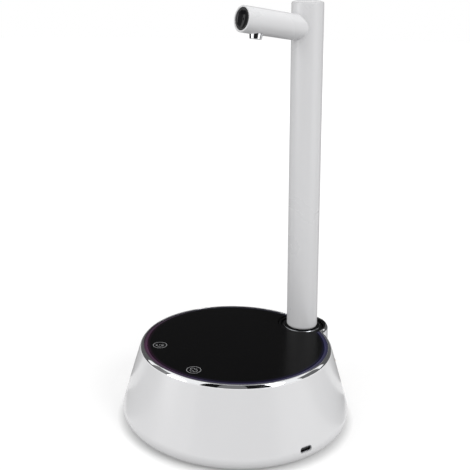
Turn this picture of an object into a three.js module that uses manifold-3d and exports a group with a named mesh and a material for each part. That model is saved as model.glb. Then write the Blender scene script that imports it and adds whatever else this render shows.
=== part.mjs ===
// Desktop electric water jug pump: conical base, touch panel, swivelling column and spout.
// Millimetres, +Z up. The origin is the centre of the underside, the front faces -Y.

import * as THREE from "three";
import { mergeVertices } from "three/addons/utils/BufferGeometryUtils.js";
import Module from "manifold-3d";

const wasm = await Module();
wasm.setup();

// Clearances
const slip = 0.3;
const runningClearance = 0.4;
const shadowGap = 0.2;
const ringClearance = 0.15;

// Fineness of round outlines
const fineRound = 44;
const hiddenRound = 20;
const midRound = 24;
const nozzleRound = 20;
const seatRound = 16;
const innerRound = 12;
const flatness = 0.004;
const smallRound = 10;
const tinyRound = 6;
const pegRound = 6;

// Base shell
const bulgeRadius = 81.75;
const rimInset = 11.75;
const rimHeight = 2.3;
const rimTaper = 0.65;
const rimWidth = 2.9;
const rimChamfer = 0.45;
const skirtWall = 1;
const panelTop = 52.7;
const panelThickness = 2.2;
const standHeight = 0.8;
const bulgeRound = 7.6;
const shellWall = 2.4;
const coneInset = 0.1;
const shelfThickness = 2;
const shelfWidth = 11;
const carrierThickness = 2.2;
const lightRingWidth = 2.1;
const lightRingDrop = 0.2;

// Lobe round the column
const columnInset = 7.6;
const lobeRadius = 20.2;
const lobeRimWidth = 2;
const lobeShellInset = 0.25;
const lobeWall = 2.2;
const lobeFootRadius = 14.5;
const lobeFootHeight = 12;
const lobeTaperStart = 36;
const lobeShelfDrop = 2.1;
const lobeShelfThickness = 4;

// Column and spout
const columnRadius = 12.3;
const columnDraft = 0.5;
const columnWall = 1.5;
const columnFootRound = 2.2;
const columnFootFloor = 3.5;
const columnLength = 249.3;
const capHeight = 2.1;
const capShoulder = [0.15, 0.25];
const capEdge = [2.2, 0.8];
const capPlugDepth = 6;
const spoutDrop = 20.1;
const spoutTilt = THREE.MathUtils.degToRad(7.66);
const spoutRadius = 10.05;
const spoutWall = 1.6;
const spoutEndShort = 1.1;
const spoutEdgeRound = 0.6;
const collarRadius = 6.4;
const collarWall = 1.2;
const collarLength = 5;
const discRecess = 0.6;
const discDish = 1;
const discPlugDepth = 5.5;
const discDishRadius = 4;

// Nozzle
const nozzleInset = 14.3;
const nozzleTopRadius = 5;
const nozzleTipRadius = 4.4;
const nozzleDrop = 3.05;
const nozzleBore = 2.9;
const nozzleThreadRadius = 3.8;
const nozzleThreadLength = 5.5;
const nozzleMouthRadius = 3.7;
const nozzleMouthDepth = 1.8;
const aeratorThickness = 1.2;
const aeratorHole = 0.6;

// Water tubes and their barbs
const tubeRadius = 4;
const tubeBore = 2.5;
const barbBore = 1.4;
const barbLength = 12;
const elbowBend = 7;

// Swivel seat
const seatCupRadius = 17.2;
const seatCupWall = 1;
const seatFlange = 0.7;
const seatFlangeHeight = 1.6;
const seatRimDrop = 0.4;
const seatFloor = 2.5;
const collarDiscThickness = 3.6;
const footBelowPanel = 1.2;
const journalRadius = 10.9;
const journalBottom = 32.2;
const barrelWall = 2.2;
const barrelBottom = 30.9;
const chamberStep = 1.1;
const chamberTop = 36.5;
const clipThickness = 1.2;
const clipDepth = 0.7;
const plugBore = 8.6;
const spigotBottom = 34;
const spigotBarbTop = 68;
const oRingSection = 0.75;
const nippleRadius = 4.2;
const nippleTop = 43.5;
const nippleORingSection = 0.5;
const seatCapThickness = 2.5;
const seatElbowRadius = 4.3;

// Underside
const padMargin = 15.85;
const padThickness = 1.6;
const coverThickness = 2.4;
const coverScrewInset = 5.35;
const screwBossRadius = 4;
const screwBossHeight = 8;
const screwRadius = 1.3;
const screwHeadRadius = 2.6;
const screwHeadHeight = 1.5;
const stakeRadius = 1.2;
const stakeHead = 2.2;

// Charging socket
const socketHeight = 9.9;
const socketWidth = 8.94;
const socketTall = 3.26;
const socketLength = 7.4;
const socketShell = 0.35;
const socketRecess = 0.6;
const tongueWidth = 6.6;
const tongueThickness = 0.7;
const tongueLength = 4.8;
const chargeBoardDepth = 20;
const chargeBoardWidth = 20;
const chargeBoardSetback = 4.2;
const boardThickness = 1.6;

// Touch keys and electronics
const keyInset = 16.2;
const keyAngle = THREE.MathUtils.degToRad(25.4);
const springRadius = 3.4;
const springWire = 0.4;
const springTurns = 3;
const controlBoardDrop = 6.8;
const controlBoardWidth = 60;
const controlBoardDepth = 28;
const controlBoardMargin = 4.2;
const boardPostMargin = 4;
const chipSize = 10;
const chipThickness = 1.6;
const plugWidth = 12;
const plugDepth = 6;
const plugHeight = 5;
const capacitorRadius = 3.2;
const capacitorHeight = 8;
const buzzerRadius = 4.8;
const ledCount = 8;
const ledGapAngle = THREE.MathUtils.degToRad(32);
const ledBoardThickness = 0.8;
const ledSize = 2;
const ledHeight = 0.8;

// Battery
const cellRadius = 9.2;
const cellLength = 65;
const cellSpacing = 19.4;
const batteryX = 16;
const batteryY = -6;
const trayWall = 2;
const trayHeight = 8;
const clampBarThickness = 2;
const clampBarWidth = 10;

// Pump
const pumpX = -38;
const pumpY = -34;
const pumpHeight = 21;
const motorRadius = 13.8;
const motorLength = 34;
const motorBossRadius = 5;
const motorBossLength = 2.5;
const shaftRadius = 1.15;
const headSize = 32;
const headCorner = 5;
const chamberDepth = 12;
const chamberRadius = 11;
const chamberFloor = 2;
const eccentricRadius = 6;
const eccentricLength = 5;
const crankOffset = 2;
const crankRadius = 1;
const diaphragmThickness = 1.5;
const cupRadius = 3.6;
const cupCircle = 6.6;
const cupDepth = 1.3;
const valvePlateThickness = 3.5;
const headCoverThickness = 7.5;
const portSpacing = 14;
const headScrewOffset = 12.8;
const headScrewRadius = 1.1;
const sleeveWall = 2.2;
const sleeveLength = 20;
const clampWidth = 12;
const clampStrap = 2;
const clampFoot = 6;
const clampBlockTop = 10;

// Hose inlet
const inletHeight = 15;
const inletFlangeRadius = 7.2;
const inletFlangeThickness = 2.5;
const inletSeatDepth = 1.6;
const inletThreadRadius = 5;
const inletHoseBarb = 3.4;
const inletHoseBore = 2;
const inletHoseLength = 15;
const inletNutRadius = 8;
const inletNutThickness = 3.5;
const inletThreadInside = 8;
const inletBarbLength = 8;

// Heights and radii that follow
const rimRadius = bulgeRadius - rimInset;
const columnOffset = rimRadius - columnInset;
const shelfOpening = rimRadius - shelfWidth;
const spoutReach = columnOffset - spoutEndShort;
const keyRadius = rimRadius - keyInset;
const controlBoardFront = -keyRadius - controlBoardMargin;
const controlBoardBack = controlBoardFront + controlBoardDepth;
const seatElbowHeight = barrelBottom - seatCapThickness - tubeRadius - 2 * slip;
const panelUnderside = panelTop - panelThickness;
const rimBottom = panelTop - rimHeight;
const housingTop = rimBottom - shadowGap;
const carrierTop = panelUnderside;
const shelfTop = carrierTop - carrierThickness - ledBoardThickness - ledHeight;
const carrierPlateTop = shelfTop + carrierThickness;
const shelfBottom = shelfTop - shelfThickness;
const rimInnerRadius = rimRadius - rimWidth;
const lobeInnerRadius = lobeRadius - lobeRimWidth;
const lightRingOuter = rimInnerRadius - slip;
const lightRingInner = lightRingOuter - lightRingWidth;
const panelRadius = lightRingInner - slip;
const skirtOuter = rimInnerRadius + skirtWall;
const recessRadius = skirtOuter + slip;
const lobeShellRadius = lobeRadius - lobeShellInset;
const lobeRecessRadius = lobeShellRadius - lobeWall;
const lobeShelfTop = shelfTop - lobeShelfDrop;
const biteRadius = lobeInnerRadius + slip / 2;
const footHeight = panelTop - footBelowPanel;
const collarTop = footHeight;
const collarDiscBottom = collarTop - collarDiscThickness;
const columnTop = footHeight + columnLength;
const columnBore = columnRadius - columnWall;
const spoutHeight = columnTop - spoutDrop;
const spoutBore = spoutRadius - spoutWall;
const coverTop = standHeight + coverThickness;
const coverRadius = bulgeRadius - bulgeRound - slip;
const coverScrewCircle = coverRadius - coverScrewInset;
const padRadius = coverRadius - padMargin;
const motorAxis = new THREE.Vector3(pumpX, pumpY, pumpHeight);
const tubeBarb = tubeBore - runningClearance;

function finish(color, roughness, metalness) {
  return new THREE.MeshStandardMaterial({ color, roughness, metalness });
}

const whitePlastic = finish(0xe9e9ea, 0.35, 0);
const whiteInner = finish(0xdcdcdc, 0.55, 0);
const blackGloss = finish(0x141416, 0.12, 0);
const blackPlastic = finish(0x1b1b1d, 0.45, 0);
const chromePlate = finish(0xd8d9dc, 0.06, 1);
const diffuser = finish(0x8f86d8, 0.4, 0);
const rubber = finish(0x2a2a2c, 0.85, 0);
const silicone = finish(0xd9dcdc, 0.5, 0);
const steel = finish(0xa9abb0, 0.35, 1);
const brass = finish(0xc2a25a, 0.35, 1);
const boardGreen = finish(0x1f5a36, 0.5, 0);
const cellWrap = finish(0x2f6fae, 0.4, 0);

// Solids from geometry

function signedVolume(geometry) {
  const position = geometry.attributes.position;
  const index = geometry.index.array;
  const [a, b, c] = [new THREE.Vector3(), new THREE.Vector3(), new THREE.Vector3()];
  let sum = 0;
  for (let i = 0; i < index.length; i += 3) {
    a.fromBufferAttribute(position, index[i]);
    b.fromBufferAttribute(position, index[i + 1]);
    c.fromBufferAttribute(position, index[i + 2]);
    sum += a.dot(b.cross(c));
  }
  return sum / 6;
}

// Positions only, welded, without collapsed faces and facing outwards
function welded(geometry) {
  const bare = geometry.clone();
  bare.deleteAttribute("normal");
  bare.deleteAttribute("uv");
  const merged = mergeVertices(bare, 1e-4);
  const faces = [];
  const index = merged.index.array;
  for (let i = 0; i < index.length; i += 3) {
    const [a, b, c] = [index[i], index[i + 1], index[i + 2]];
    if (a !== b && b !== c && c !== a) faces.push(a, b, c);
  }
  merged.setIndex(faces);
  if (signedVolume(merged) < 0) {
    for (let i = 0; i < faces.length; i += 3) {
      [faces[i], faces[i + 1]] = [faces[i + 1], faces[i]];
    }
    merged.setIndex(faces);
  }
  return merged;
}

function solidOf(geometry) {
  const mesh = welded(geometry);
  return new wasm.Manifold(new wasm.Mesh({
    numProp: 3,
    vertProperties: new Float32Array(mesh.attributes.position.array),
    triVerts: new Uint32Array(mesh.index.array),
  }));
}

function geometryOf(solid) {
  const mesh = solid.asOriginal().simplify(flatness).getMesh();
  const geometry = new THREE.BufferGeometry();
  geometry.setAttribute("position", new THREE.BufferAttribute(mesh.vertProperties, 3));
  geometry.setIndex(new THREE.BufferAttribute(mesh.triVerts, 1));
  return geometry;
}

function join(...solids) {
  return solids.reduce((whole, next) => whole.add(next));
}

function cut(body, ...tools) {
  return tools.reduce((left, tool) => left.subtract(tool), body);
}

// Profile of [radius, height] points turned about Z, closed on itself or ending on the axis
function revolve(profile, segments = innerRound) {
  const points = profile.map(([radius, height]) => new THREE.Vector2(radius, height));
  const onAxis = profile[0][0] === 0 && profile.at(-1)[0] === 0;
  if (!onAxis) points.push(points[0].clone());
  return solidOf(new THREE.LatheGeometry(points, segments).rotateX(Math.PI / 2));
}

function rod(radius, from, to, segments = innerRound) {
  return taper(radius, from, radius, to, segments);
}

function taper(lowRadius, from, highRadius, to, segments = innerRound) {
  const geometry = new THREE.CylinderGeometry(highRadius, lowRadius, to - from, segments);
  return solidOf(geometry.rotateX(Math.PI / 2).translate(0, 0, (from + to) / 2));
}

function pipe(outer, inner, from, to, segments = innerRound) {
  return revolve([[inner, from], [outer, from], [outer, to], [inner, to]], segments);
}

function block(x0, x1, y0, y1, z0, z1) {
  const geometry = new THREE.BoxGeometry(x1 - x0, y1 - y0, z1 - z0);
  return solidOf(geometry.translate((x0 + x1) / 2, (y0 + y1) / 2, (z0 + z1) / 2));
}

function plate(shape, from, to, curveSegments = 6) {
  const geometry = new THREE.ExtrudeGeometry(shape, {
    depth: to - from,
    bevelEnabled: false,
    curveSegments,
  });
  return solidOf(geometry.translate(0, 0, from));
}

function roundedRectangle(width, height, corner) {
  const [x, y] = [width / 2, height / 2];
  const shape = new THREE.Shape();
  shape.moveTo(x, y - corner);
  shape.absarc(x - corner, y - corner, corner, 0, Math.PI / 2);
  shape.absarc(corner - x, y - corner, corner, Math.PI / 2, Math.PI);
  shape.absarc(corner - x, corner - y, corner, Math.PI, 1.5 * Math.PI);
  shape.absarc(x - corner, corner - y, corner, 1.5 * Math.PI, 2 * Math.PI);
  return shape;
}

function arcPoints(centreRadius, centreHeight, radius, fromDegrees, toDegrees, steps) {
  return Array.from({ length: steps + 1 }, (_, i) => {
    const angle = THREE.MathUtils.degToRad(fromDegrees + (toDegrees - fromDegrees) * i / steps);
    return [centreRadius + radius * Math.cos(angle), centreHeight + radius * Math.sin(angle)];
  });
}

// Round bar or tube swept along a curve
function sweep(curve, outer, inner, steps, sides = tinyRound) {
  const shape = new THREE.Shape().absarc(0, 0, outer, 0, 2 * Math.PI);
  if (inner > 0) shape.holes.push(new THREE.Path().absarc(0, 0, inner, 0, 2 * Math.PI));
  const geometry = new THREE.ExtrudeGeometry(shape, {
    steps,
    extrudePath: curve,
    curveSegments: sides / 2,
  });
  return solidOf(geometry);
}

// Closed profile of { main, lobe, z } carried round the outline of two crossing circles
function lobedSweep(profile, mainSegments = fineRound, lobeSegments = 14) {
  const loopAt = ({ main, lobe, z }) => {
    const offset = columnOffset;
    const mainHalf = Math.acos((main ** 2 + offset ** 2 - lobe ** 2) / (2 * main * offset));
    const lobeHalf = Math.acos((lobe ** 2 + offset ** 2 - main ** 2) / (2 * lobe * offset));
    const points = [];
    for (let i = 0; i < mainSegments; i += 1) {
      const angle = Math.PI / 2 + mainHalf + 2 * (Math.PI - mainHalf) * i / mainSegments;
      points.push(main * Math.cos(angle), main * Math.sin(angle), z);
    }
    for (let i = 0; i < lobeSegments; i += 1) {
      const angle = lobeHalf - Math.PI / 2 + 2 * (Math.PI - lobeHalf) * i / lobeSegments;
      points.push(lobe * Math.cos(angle), offset + lobe * Math.sin(angle), z);
    }
    return points;
  };
  const around = mainSegments + lobeSegments;
  const faces = [];
  profile.forEach((_, row) => {
    const next = (row + 1) % profile.length;
    for (let i = 0; i < around; i += 1) {
      const j = (i + 1) % around;
      const [a, b] = [row * around + i, row * around + j];
      const [c, d] = [next * around + i, next * around + j];
      faces.push(a, b, d, a, d, c);
    }
  });
  const geometry = new THREE.BufferGeometry();
  const positions = new Float32Array(profile.flatMap(loopAt));
  geometry.setAttribute("position", new THREE.BufferAttribute(positions, 3));
  geometry.setIndex(faces);
  return solidOf(geometry);
}

function atColumn(solid) {
  return solid.translate([0, columnOffset, 0]);
}

function onCircle(radius, angle) {
  return [radius * Math.cos(angle), radius * Math.sin(angle)];
}

// Peg melted over into a head once it has passed through the piece it holds
function stake([x, y], from, through) {
  const top = from + through;
  const head = taper(stakeHead, top, stakeRadius, top + stakeRadius, pegRound);
  return join(rod(stakeRadius, from - 1, top + 0.5, pegRound), head).translate([x, y, 0]);
}

function stakeDown([x, y], from, through) {
  return stake([0, 0], 0, through).rotate([180, 0, 0]).translate([x, y, from]);
}

function stakeHoles(places, from = 0, to = panelTop) {
  return join(...places.map(([x, y]) => {
    return rod(stakeRadius + slip, from, to, pegRound).translate([x, y, 0]);
  }));
}

// Z axis laid along -Y or +Y
function towardsFront(solid) {
  return solid.rotate([90, 0, 0]);
}

function towardsBack(solid) {
  return solid.rotate([-90, 0, 0]);
}

// Barbed stem from the root to the tip
function barbProfile(stem, bore, root, length) {
  const ridge = stem * 0.1;
  const tip = root + length;
  return [
    [bore, root], [stem - ridge, root],
    [stem - ridge, tip - length * 0.3], [stem, tip - length * 0.3],
    [stem - 2 * ridge, tip], [bore, tip],
  ];
}

const product = new THREE.Group();

function part(name, solid, material, parent = product) {
  const mesh = new THREE.Mesh(geometryOf(solid), material);
  mesh.name = name;
  parent.add(mesh);
}

// Base housing

const bulgeCentre = [bulgeRadius - bulgeRound, standHeight + bulgeRound];
const coneTop = [rimRadius - coneInset, housingTop];

// Where the straight cone runs tangent into the round lower edge, in degrees
function coneTangent() {
  const [dx, dz] = [coneTop[0] - bulgeCentre[0], coneTop[1] - bulgeCentre[1]];
  const toTop = Math.atan2(dz, dx);
  const opening = Math.acos(bulgeRound / Math.hypot(dx, dz));
  return THREE.MathUtils.radToDeg(toTop - opening);
}

function shellRadiusAt(height, inset = 0) {
  const tangent = coneTangent();
  const [start] = arcPoints(...bulgeCentre, bulgeRound, tangent, tangent, 1);
  const share = (height - start[1]) / (coneTop[1] - start[1]);
  const wall = inset / Math.cos(THREE.MathUtils.degToRad(tangent));
  return start[0] + (coneTop[0] - start[0]) * share - wall;
}

function housingOutside() {
  const body = revolve([
    [0, housingTop],
    coneTop,
    ...arcPoints(...bulgeCentre, bulgeRound, coneTangent(), -90, 5),
    [0, standHeight],
  ], fineRound);
  return join(body, lobeSolid(0));
}

function lobeSolid(inset) {
  const [upper, lower] = [lobeShellRadius - inset, lobeFootRadius - inset];
  const straight = rod(upper, lobeTaperStart, housingTop, midRound);
  const narrowing = taper(lower, lobeFootHeight, upper, lobeTaperStart, midRound);
  return atColumn(join(straight, narrowing));
}

function housingCavity() {
  const room = revolve([
    [0, shelfBottom],
    [shellRadiusAt(shelfBottom, shellWall), shelfBottom],
    ...arcPoints(...bulgeCentre, bulgeRound - shellWall, coneTangent(), -90, 2),
    [bulgeCentre[0], 0],
    [0, 0],
  ], hiddenRound);
  const opening = rod(shelfOpening, shelfBottom - 1, shelfTop + 1, hiddenRound);
  const recess = rod(recessRadius, shelfTop, panelTop, fineRound);
  const lobeRoom = lobeSolid(lobeWall).trimByPlane([0, 0, -1], lobeShelfThickness - lobeShelfTop);
  const lobeRecess = atColumn(rod(lobeRecessRadius, lobeShelfTop, panelTop, seatRound));
  return join(room, opening, recess, lobeRoom, lobeRecess);
}

// Ledge that carries the swivel seat and ties it to the main shelf
function lobeShelf() {
  const bottom = lobeShelfTop - lobeShelfThickness;
  const outer = rod(lobeRecessRadius + lobeWall / 2, bottom, shelfTop, seatRound);
  const cup = rod(lobeRecessRadius, lobeShelfTop, panelTop, seatRound);
  return atColumn(cut(outer, cup));
}

const coverScrewAngles = [60, 120, 240, 300];

function coverScrewPlaces() {
  return coverScrewAngles.map((degrees) => {
    return onCircle(coverScrewCircle, THREE.MathUtils.degToRad(degrees));
  });
}

function coverBosses() {
  const bosses = coverScrewPlaces().map(([x, y], i) => {
    const post = rod(screwBossRadius, coverTop, coverTop + screwBossHeight, tinyRound);
    const rib = block(0, bulgeRound + screwBossRadius, -1, 1, coverTop, coverTop + screwBossHeight);
    const hole = rod(screwRadius + slip, coverTop - 1, coverTop + screwBossHeight - 2, pegRound);
    return cut(join(post, rib.rotate([0, 0, coverScrewAngles[i]])), hole).translate([x, y, 0]);
  });
  return join(...bosses);
}

function socketOutline(extra) {
  return roundedRectangle(
    socketWidth + 2 * extra,
    socketTall + 2 * extra,
    socketTall / 2 + extra - 0.01,
  );
}

// Outline in the YZ plane, carried along +X from one place to another
function alongX(shape, from, to) {
  return plate(shape, from, to, 2).rotate([90, 0, 90]).translate([0, 0, socketHeight]);
}

const inletFace = shellRadiusAt(inletHeight) - inletSeatDepth;
const inletNutFace = inletFace - shellWall - inletSeatDepth;

function inletSeat() {
  const pad = rod(inletFlangeRadius + 2, inletNutFace, inletFace, smallRound);
  return atInlet(pad);
}

function atInlet(solid) {
  return towardsBack(solid).translate([0, 0, inletHeight]);
}

const barrelRadius = journalRadius + slip + barrelWall;

function seatStakePlaces() {
  const circle = (barrelRadius + seatCupRadius) / 2 + slip;
  return [30, 150, 270].map((degrees) => onCircle(circle, THREE.MathUtils.degToRad(degrees)));
}

function baseHousing() {
  const outside = housingOutside();
  const shell = cut(outside, housingCavity());
  const fittings = join(coverBosses(), inletSeat()).intersect(outside);
  const inletRoom = atInlet(rod(inletFlangeRadius + slip, inletFace, bulgeRadius, smallRound));
  const inletHole = atInlet(rod(inletThreadRadius + slip, inletNutFace - 1, bulgeRadius, smallRound));
  const barrelHole = atColumn(
    rod(barrelRadius + slip, lobeShelfTop - 2 * lobeShelfThickness, panelTop, seatRound),
  );
  const socketHole = alongX(socketOutline(slip), bulgeRadius - bulgeRound, bulgeRadius + 1);
  return cut(
    join(shell, fittings, lobeShelf()),
    inletRoom,
    inletHole,
    barrelHole,
    socketHole,
    atColumn(stakeHoles(seatStakePlaces())),
    stakeHoles(shelfStakePlaces(), shelfBottom - 1, shelfTop + 1),
  );
}

// Where the panel carrier is staked to the housing's shelf
function shelfStakePlaces() {
  const circle = (shelfOpening + recessRadius) / 2 - 1;
  return [-35, -145, 35, 145].map((degrees) => {
    return onCircle(circle, THREE.MathUtils.degToRad(degrees));
  });
}

// Screw with its head below and its tip above
function screwUp(radius, headRadius, headBottom, headHeight, tip) {
  return revolve([
    [0, headBottom],
    [headRadius, headBottom],
    [headRadius, headBottom + headHeight],
    [radius, headBottom + headHeight],
    [radius, tip - radius],
    [0, tip],
  ], pegRound);
}

// Chrome rim, light ring, panel and carrier

function chromeRim() {
  const [outer, inner] = [
    { main: rimRadius, lobe: lobeRadius },
    { main: rimInnerRadius, lobe: lobeInnerRadius },
  ];
  const inset = (edge, by, z) => ({ main: edge.main - by, lobe: edge.lobe - by, z });
  const band = lobedSweep([
    inset(outer, 0, rimBottom),
    inset(outer, rimTaper, panelTop - rimChamfer),
    inset(outer, rimTaper + rimChamfer, panelTop),
    inset(inner, 0, panelTop),
    inset(inner, 0, rimBottom),
  ]);
  const skirt = cut(
    pipe(skirtOuter, rimInnerRadius + slip / 2, shelfTop, rimBottom + slip, fineRound),
    atColumn(rod(lobeRadius + lobeWall, 0, 2 * panelTop, midRound)),
  );
  return join(band, skirt);
}

function ledAngles() {
  const step = (2 * Math.PI - 2 * ledGapAngle) / (ledCount - 1);
  return Array.from({ length: ledCount }, (_, i) => Math.PI / 2 + ledGapAngle + step * i);
}

function ledBlocks(size, from, to) {
  const radius = (lightRingOuter + lightRingInner) / 2;
  return join(...ledAngles().map((angle) => {
    const [x, y] = onCircle(radius, angle);
    const chip = block(-size / 2, size / 2, -size / 2, size / 2, from, to);
    return chip.rotate([0, 0, THREE.MathUtils.radToDeg(angle)]).translate([x, y, 0]);
  }));
}

function columnBite(radius) {
  return atColumn(rod(radius, 0, 2 * panelTop, midRound));
}

const ledBoardTop = carrierPlateTop + ledBoardThickness;

function lightRing() {
  const ring = pipe(lightRingOuter, lightRingInner, ledBoardTop, panelTop - lightRingDrop, fineRound);
  const pockets = ledBlocks(ledSize + 2 * slip, ledBoardTop - 1, ledBoardTop + ledHeight + slip);
  return cut(ring, pockets, columnBite(biteRadius + slip));
}

function ledBoard() {
  const landRadius = lightRingInner - 2 * lightRingWidth;
  const strip = pipe(lightRingOuter, landRadius, carrierPlateTop, ledBoardTop, hiddenRound);
  const board = cut(strip, columnBite(biteRadius + slip));
  return join(board, ledBlocks(ledSize, carrierPlateTop + ledBoardThickness / 2, ledBoardTop + ledHeight));
}

function topPanel() {
  const edge = 0.25;
  const sheet = revolve([
    [0, panelUnderside],
    [panelRadius, panelUnderside],
    [panelRadius, panelTop - edge],
    [panelRadius - edge, panelTop],
    [0, panelTop],
  ], fineRound);
  return cut(sheet, columnBite(biteRadius));
}

function keyPlaces() {
  return [-keyAngle, keyAngle].map((angle) => onCircle(keyRadius, angle - Math.PI / 2));
}

function boardPostPlaces() {
  const [front, back] = [controlBoardFront + boardPostMargin, controlBoardBack - boardPostMargin];
  const [near, far] = [controlBoardWidth / 6, controlBoardWidth / 2 - boardPostMargin];
  return [[-near, front], [near, front], [-far, back], [far, back]];
}

const controlBoardTop = shelfTop - controlBoardDrop;

function panelCarrier() {
  const landRadius = lightRingInner - 2 * lightRingWidth - slip;
  const plates = revolve([
    [0, shelfTop],
    [lightRingOuter, shelfTop],
    [lightRingOuter, carrierPlateTop],
    [landRadius, carrierPlateTop],
    [landRadius, carrierTop],
    [0, carrierTop],
  ], hiddenRound);
  const posts = boardPostPlaces().map(([x, y]) => {
    return rod(2.6, controlBoardTop, carrierPlateTop, tinyRound).translate([x, y, 0]);
  });
  const keyHoles = keyPlaces().map(([x, y]) => {
    return rod(springRadius + 1.6, 0, 2 * panelTop, smallRound).translate([x, y, 0]);
  });
  const stakes = [
    ...boardPostPlaces().map((place) => stakeDown(place, controlBoardTop, boardThickness)),
    ...shelfStakePlaces().map((place) => stakeDown(place, shelfTop, shelfThickness)),
  ];
  const solid = join(plates, ...posts);
  return join(cut(solid, columnBite(biteRadius + slip), ...keyHoles), ...stakes);
}

// Coil that carries each touch key's signal from the board to the panel
function touchSpring() {
  const height = panelUnderside - controlBoardTop - 2 * slip;
  const coilRadius = springRadius - springWire;
  class Helix extends THREE.Curve {
    getPoint(share, target = new THREE.Vector3()) {
      const [x, y] = onCircle(coilRadius, share * springTurns * 2 * Math.PI);
      const rise = springWire + (height - 2 * springWire) * share;
      return target.set(x, y, rise);
    }
  }
  return sweep(new Helix(), springWire, 0, springTurns * 5, 4).translate([0, 0, controlBoardTop + slip]);
}

function controlBoard() {
  const halfWidth = controlBoardWidth / 2;
  const [bottom, top] = [controlBoardTop - boardThickness, controlBoardTop];
  const board = block(-halfWidth, halfWidth, controlBoardFront, controlBoardBack, bottom, top);
  const middle = (controlBoardFront + controlBoardBack) / 2;
  const sunk = bottom + boardThickness / 3;
  const chip = block(-chipSize / 2, chipSize / 2, middle, middle + chipSize, bottom - chipThickness, sunk);
  const plugBack = controlBoardBack - boardThickness;
  const connector = block(-plugWidth - chipSize / 2 - 2, -chipSize / 2 - 2,
    plugBack - plugDepth, plugBack, bottom - plugHeight, sunk);
  const capacitor = rod(capacitorRadius, bottom - capacitorHeight, sunk, smallRound)
    .translate([controlBoardWidth / 4, middle, 0]);
  const buzzer = rod(buzzerRadius, bottom - plugHeight, sunk, smallRound)
    .translate([-controlBoardWidth / 4, middle - buzzerRadius, 0]);
  return cut(join(board, chip, connector, capacitor, buzzer), stakeHoles(boardPostPlaces()));
}

// Swivel seat

const cupBottom = lobeShelfTop;
const cupTop = panelTop - seatRimDrop;
const journalBore = journalRadius + runningClearance;
const chamberBore = barrelRadius - chamberStep;

function columnSeat() {
  const cupInner = seatCupRadius - seatCupWall;
  const outer = seatCupRadius + seatFlange;
  const flangeBottom = housingTop + slip;
  const seat = revolve([
    [barrelRadius, barrelBottom],
    [barrelRadius, cupBottom],
    [seatCupRadius, cupBottom],
    [seatCupRadius, flangeBottom],
    [outer, flangeBottom],
    [outer, cupTop - seatFlange],
    [outer - seatFlange, cupTop],
    [cupInner, cupTop],
    [cupInner, cupBottom + seatFloor],
    [journalBore, cupBottom + seatFloor],
    [journalBore, chamberTop],
    [chamberBore, chamberTop],
    [chamberBore, barrelBottom],
  ], seatRound);
  const stakes = seatStakePlaces().map((place) => {
    return stakeDown(place, cupBottom, lobeShelfThickness);
  });
  return atColumn(join(seat, ...stakes));
}

function swivelCollar() {
  const disc = seatCupRadius - seatCupWall - runningClearance;
  const groove = journalRadius - clipDepth;
  const clipTop = chamberTop - slip;
  const clipBottom = clipTop - clipThickness;
  return atColumn(revolve([
    [plugBore, journalBottom],
    [journalRadius, journalBottom],
    [journalRadius, clipBottom - slip],
    [groove, clipBottom - slip],
    [groove, clipTop + slip],
    [journalRadius, clipTop + slip],
    [journalRadius, collarDiscBottom],
    [disc, collarDiscBottom],
    [disc, collarTop - seatFlange],
    [disc - seatFlange, collarTop],
    [plugBore, collarTop],
  ], seatRound));
}

function retainingClip() {
  const top = chamberTop - slip;
  const inner = journalRadius - clipDepth + slip / 2;
  const ring = pipe(chamberBore - slip, inner, top - clipThickness, top, seatRound);
  return atColumn(cut(ring, block(-inner / 2, inner / 2, -barrelRadius, 0, 0, panelTop)));
}

function oRing(ringRadius, section, height) {
  return atColumn(revolve(arcPoints(ringRadius, height, section, 0, 288, 4), innerRound));
}

const spigotRadius = plugBore - 0.4;
const oRingRadius = plugBore - ringClearance - oRingSection;
const oRingGroove = oRingRadius - oRingSection - ringClearance;
const oRingHeight = spigotBottom + 6;
const nippleSocket = nippleRadius + 0.4;
const nippleORingRadius = nippleSocket - ringClearance - nippleORingSection;
const nippleGroove = nippleORingRadius - nippleORingSection - ringClearance;
const nippleORingHeight = nippleTop - 3;

function groovePoints(radius, depthRadius, height, section) {
  const half = section + ringClearance;
  return [
    [radius, height - half], [depthRadius, height - half],
    [depthRadius, height + half], [radius, height + half],
  ];
}

function seatCap() {
  const plateBottom = barrelBottom - seatCapThickness;
  const bossBottom = seatElbowHeight - seatElbowRadius + 1;
  const body = revolve([
    [0, bossBottom],
    [seatElbowRadius, bossBottom],
    [seatElbowRadius, plateBottom],
    [barrelRadius, plateBottom],
    [barrelRadius, barrelBottom],
    [chamberBore - slip, barrelBottom],
    [chamberBore - slip, journalBottom - slip],
    [nippleRadius, journalBottom - slip],
    ...groovePoints(nippleRadius, nippleGroove, nippleORingHeight, nippleORingSection),
    [nippleRadius, nippleTop - 1],
    [nippleRadius - 1, nippleTop],
    [0, nippleTop],
  ], innerRound);
  const barb = revolve(barbProfile(tubeBarb, barbBore, 1, barbLength + seatElbowRadius), tinyRound)
    .rotate([0, -90, 0]).translate([0, 0, seatElbowHeight]);
  const stem = rod(tubeBarb, 0, 2, tinyRound).rotate([0, -90, 0]).translate([0, 0, seatElbowHeight]);
  const riseBore = rod(barbBore, seatElbowHeight, nippleTop + 1, tinyRound);
  const sideBore = rod(barbBore, -barbBore / 2, 2 * seatElbowRadius, tinyRound)
    .rotate([0, -90, 0]).translate([0, 0, seatElbowHeight]);
  return atColumn(cut(join(body, barb, stem), riseBore, sideBore));
}

// Column

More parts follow.
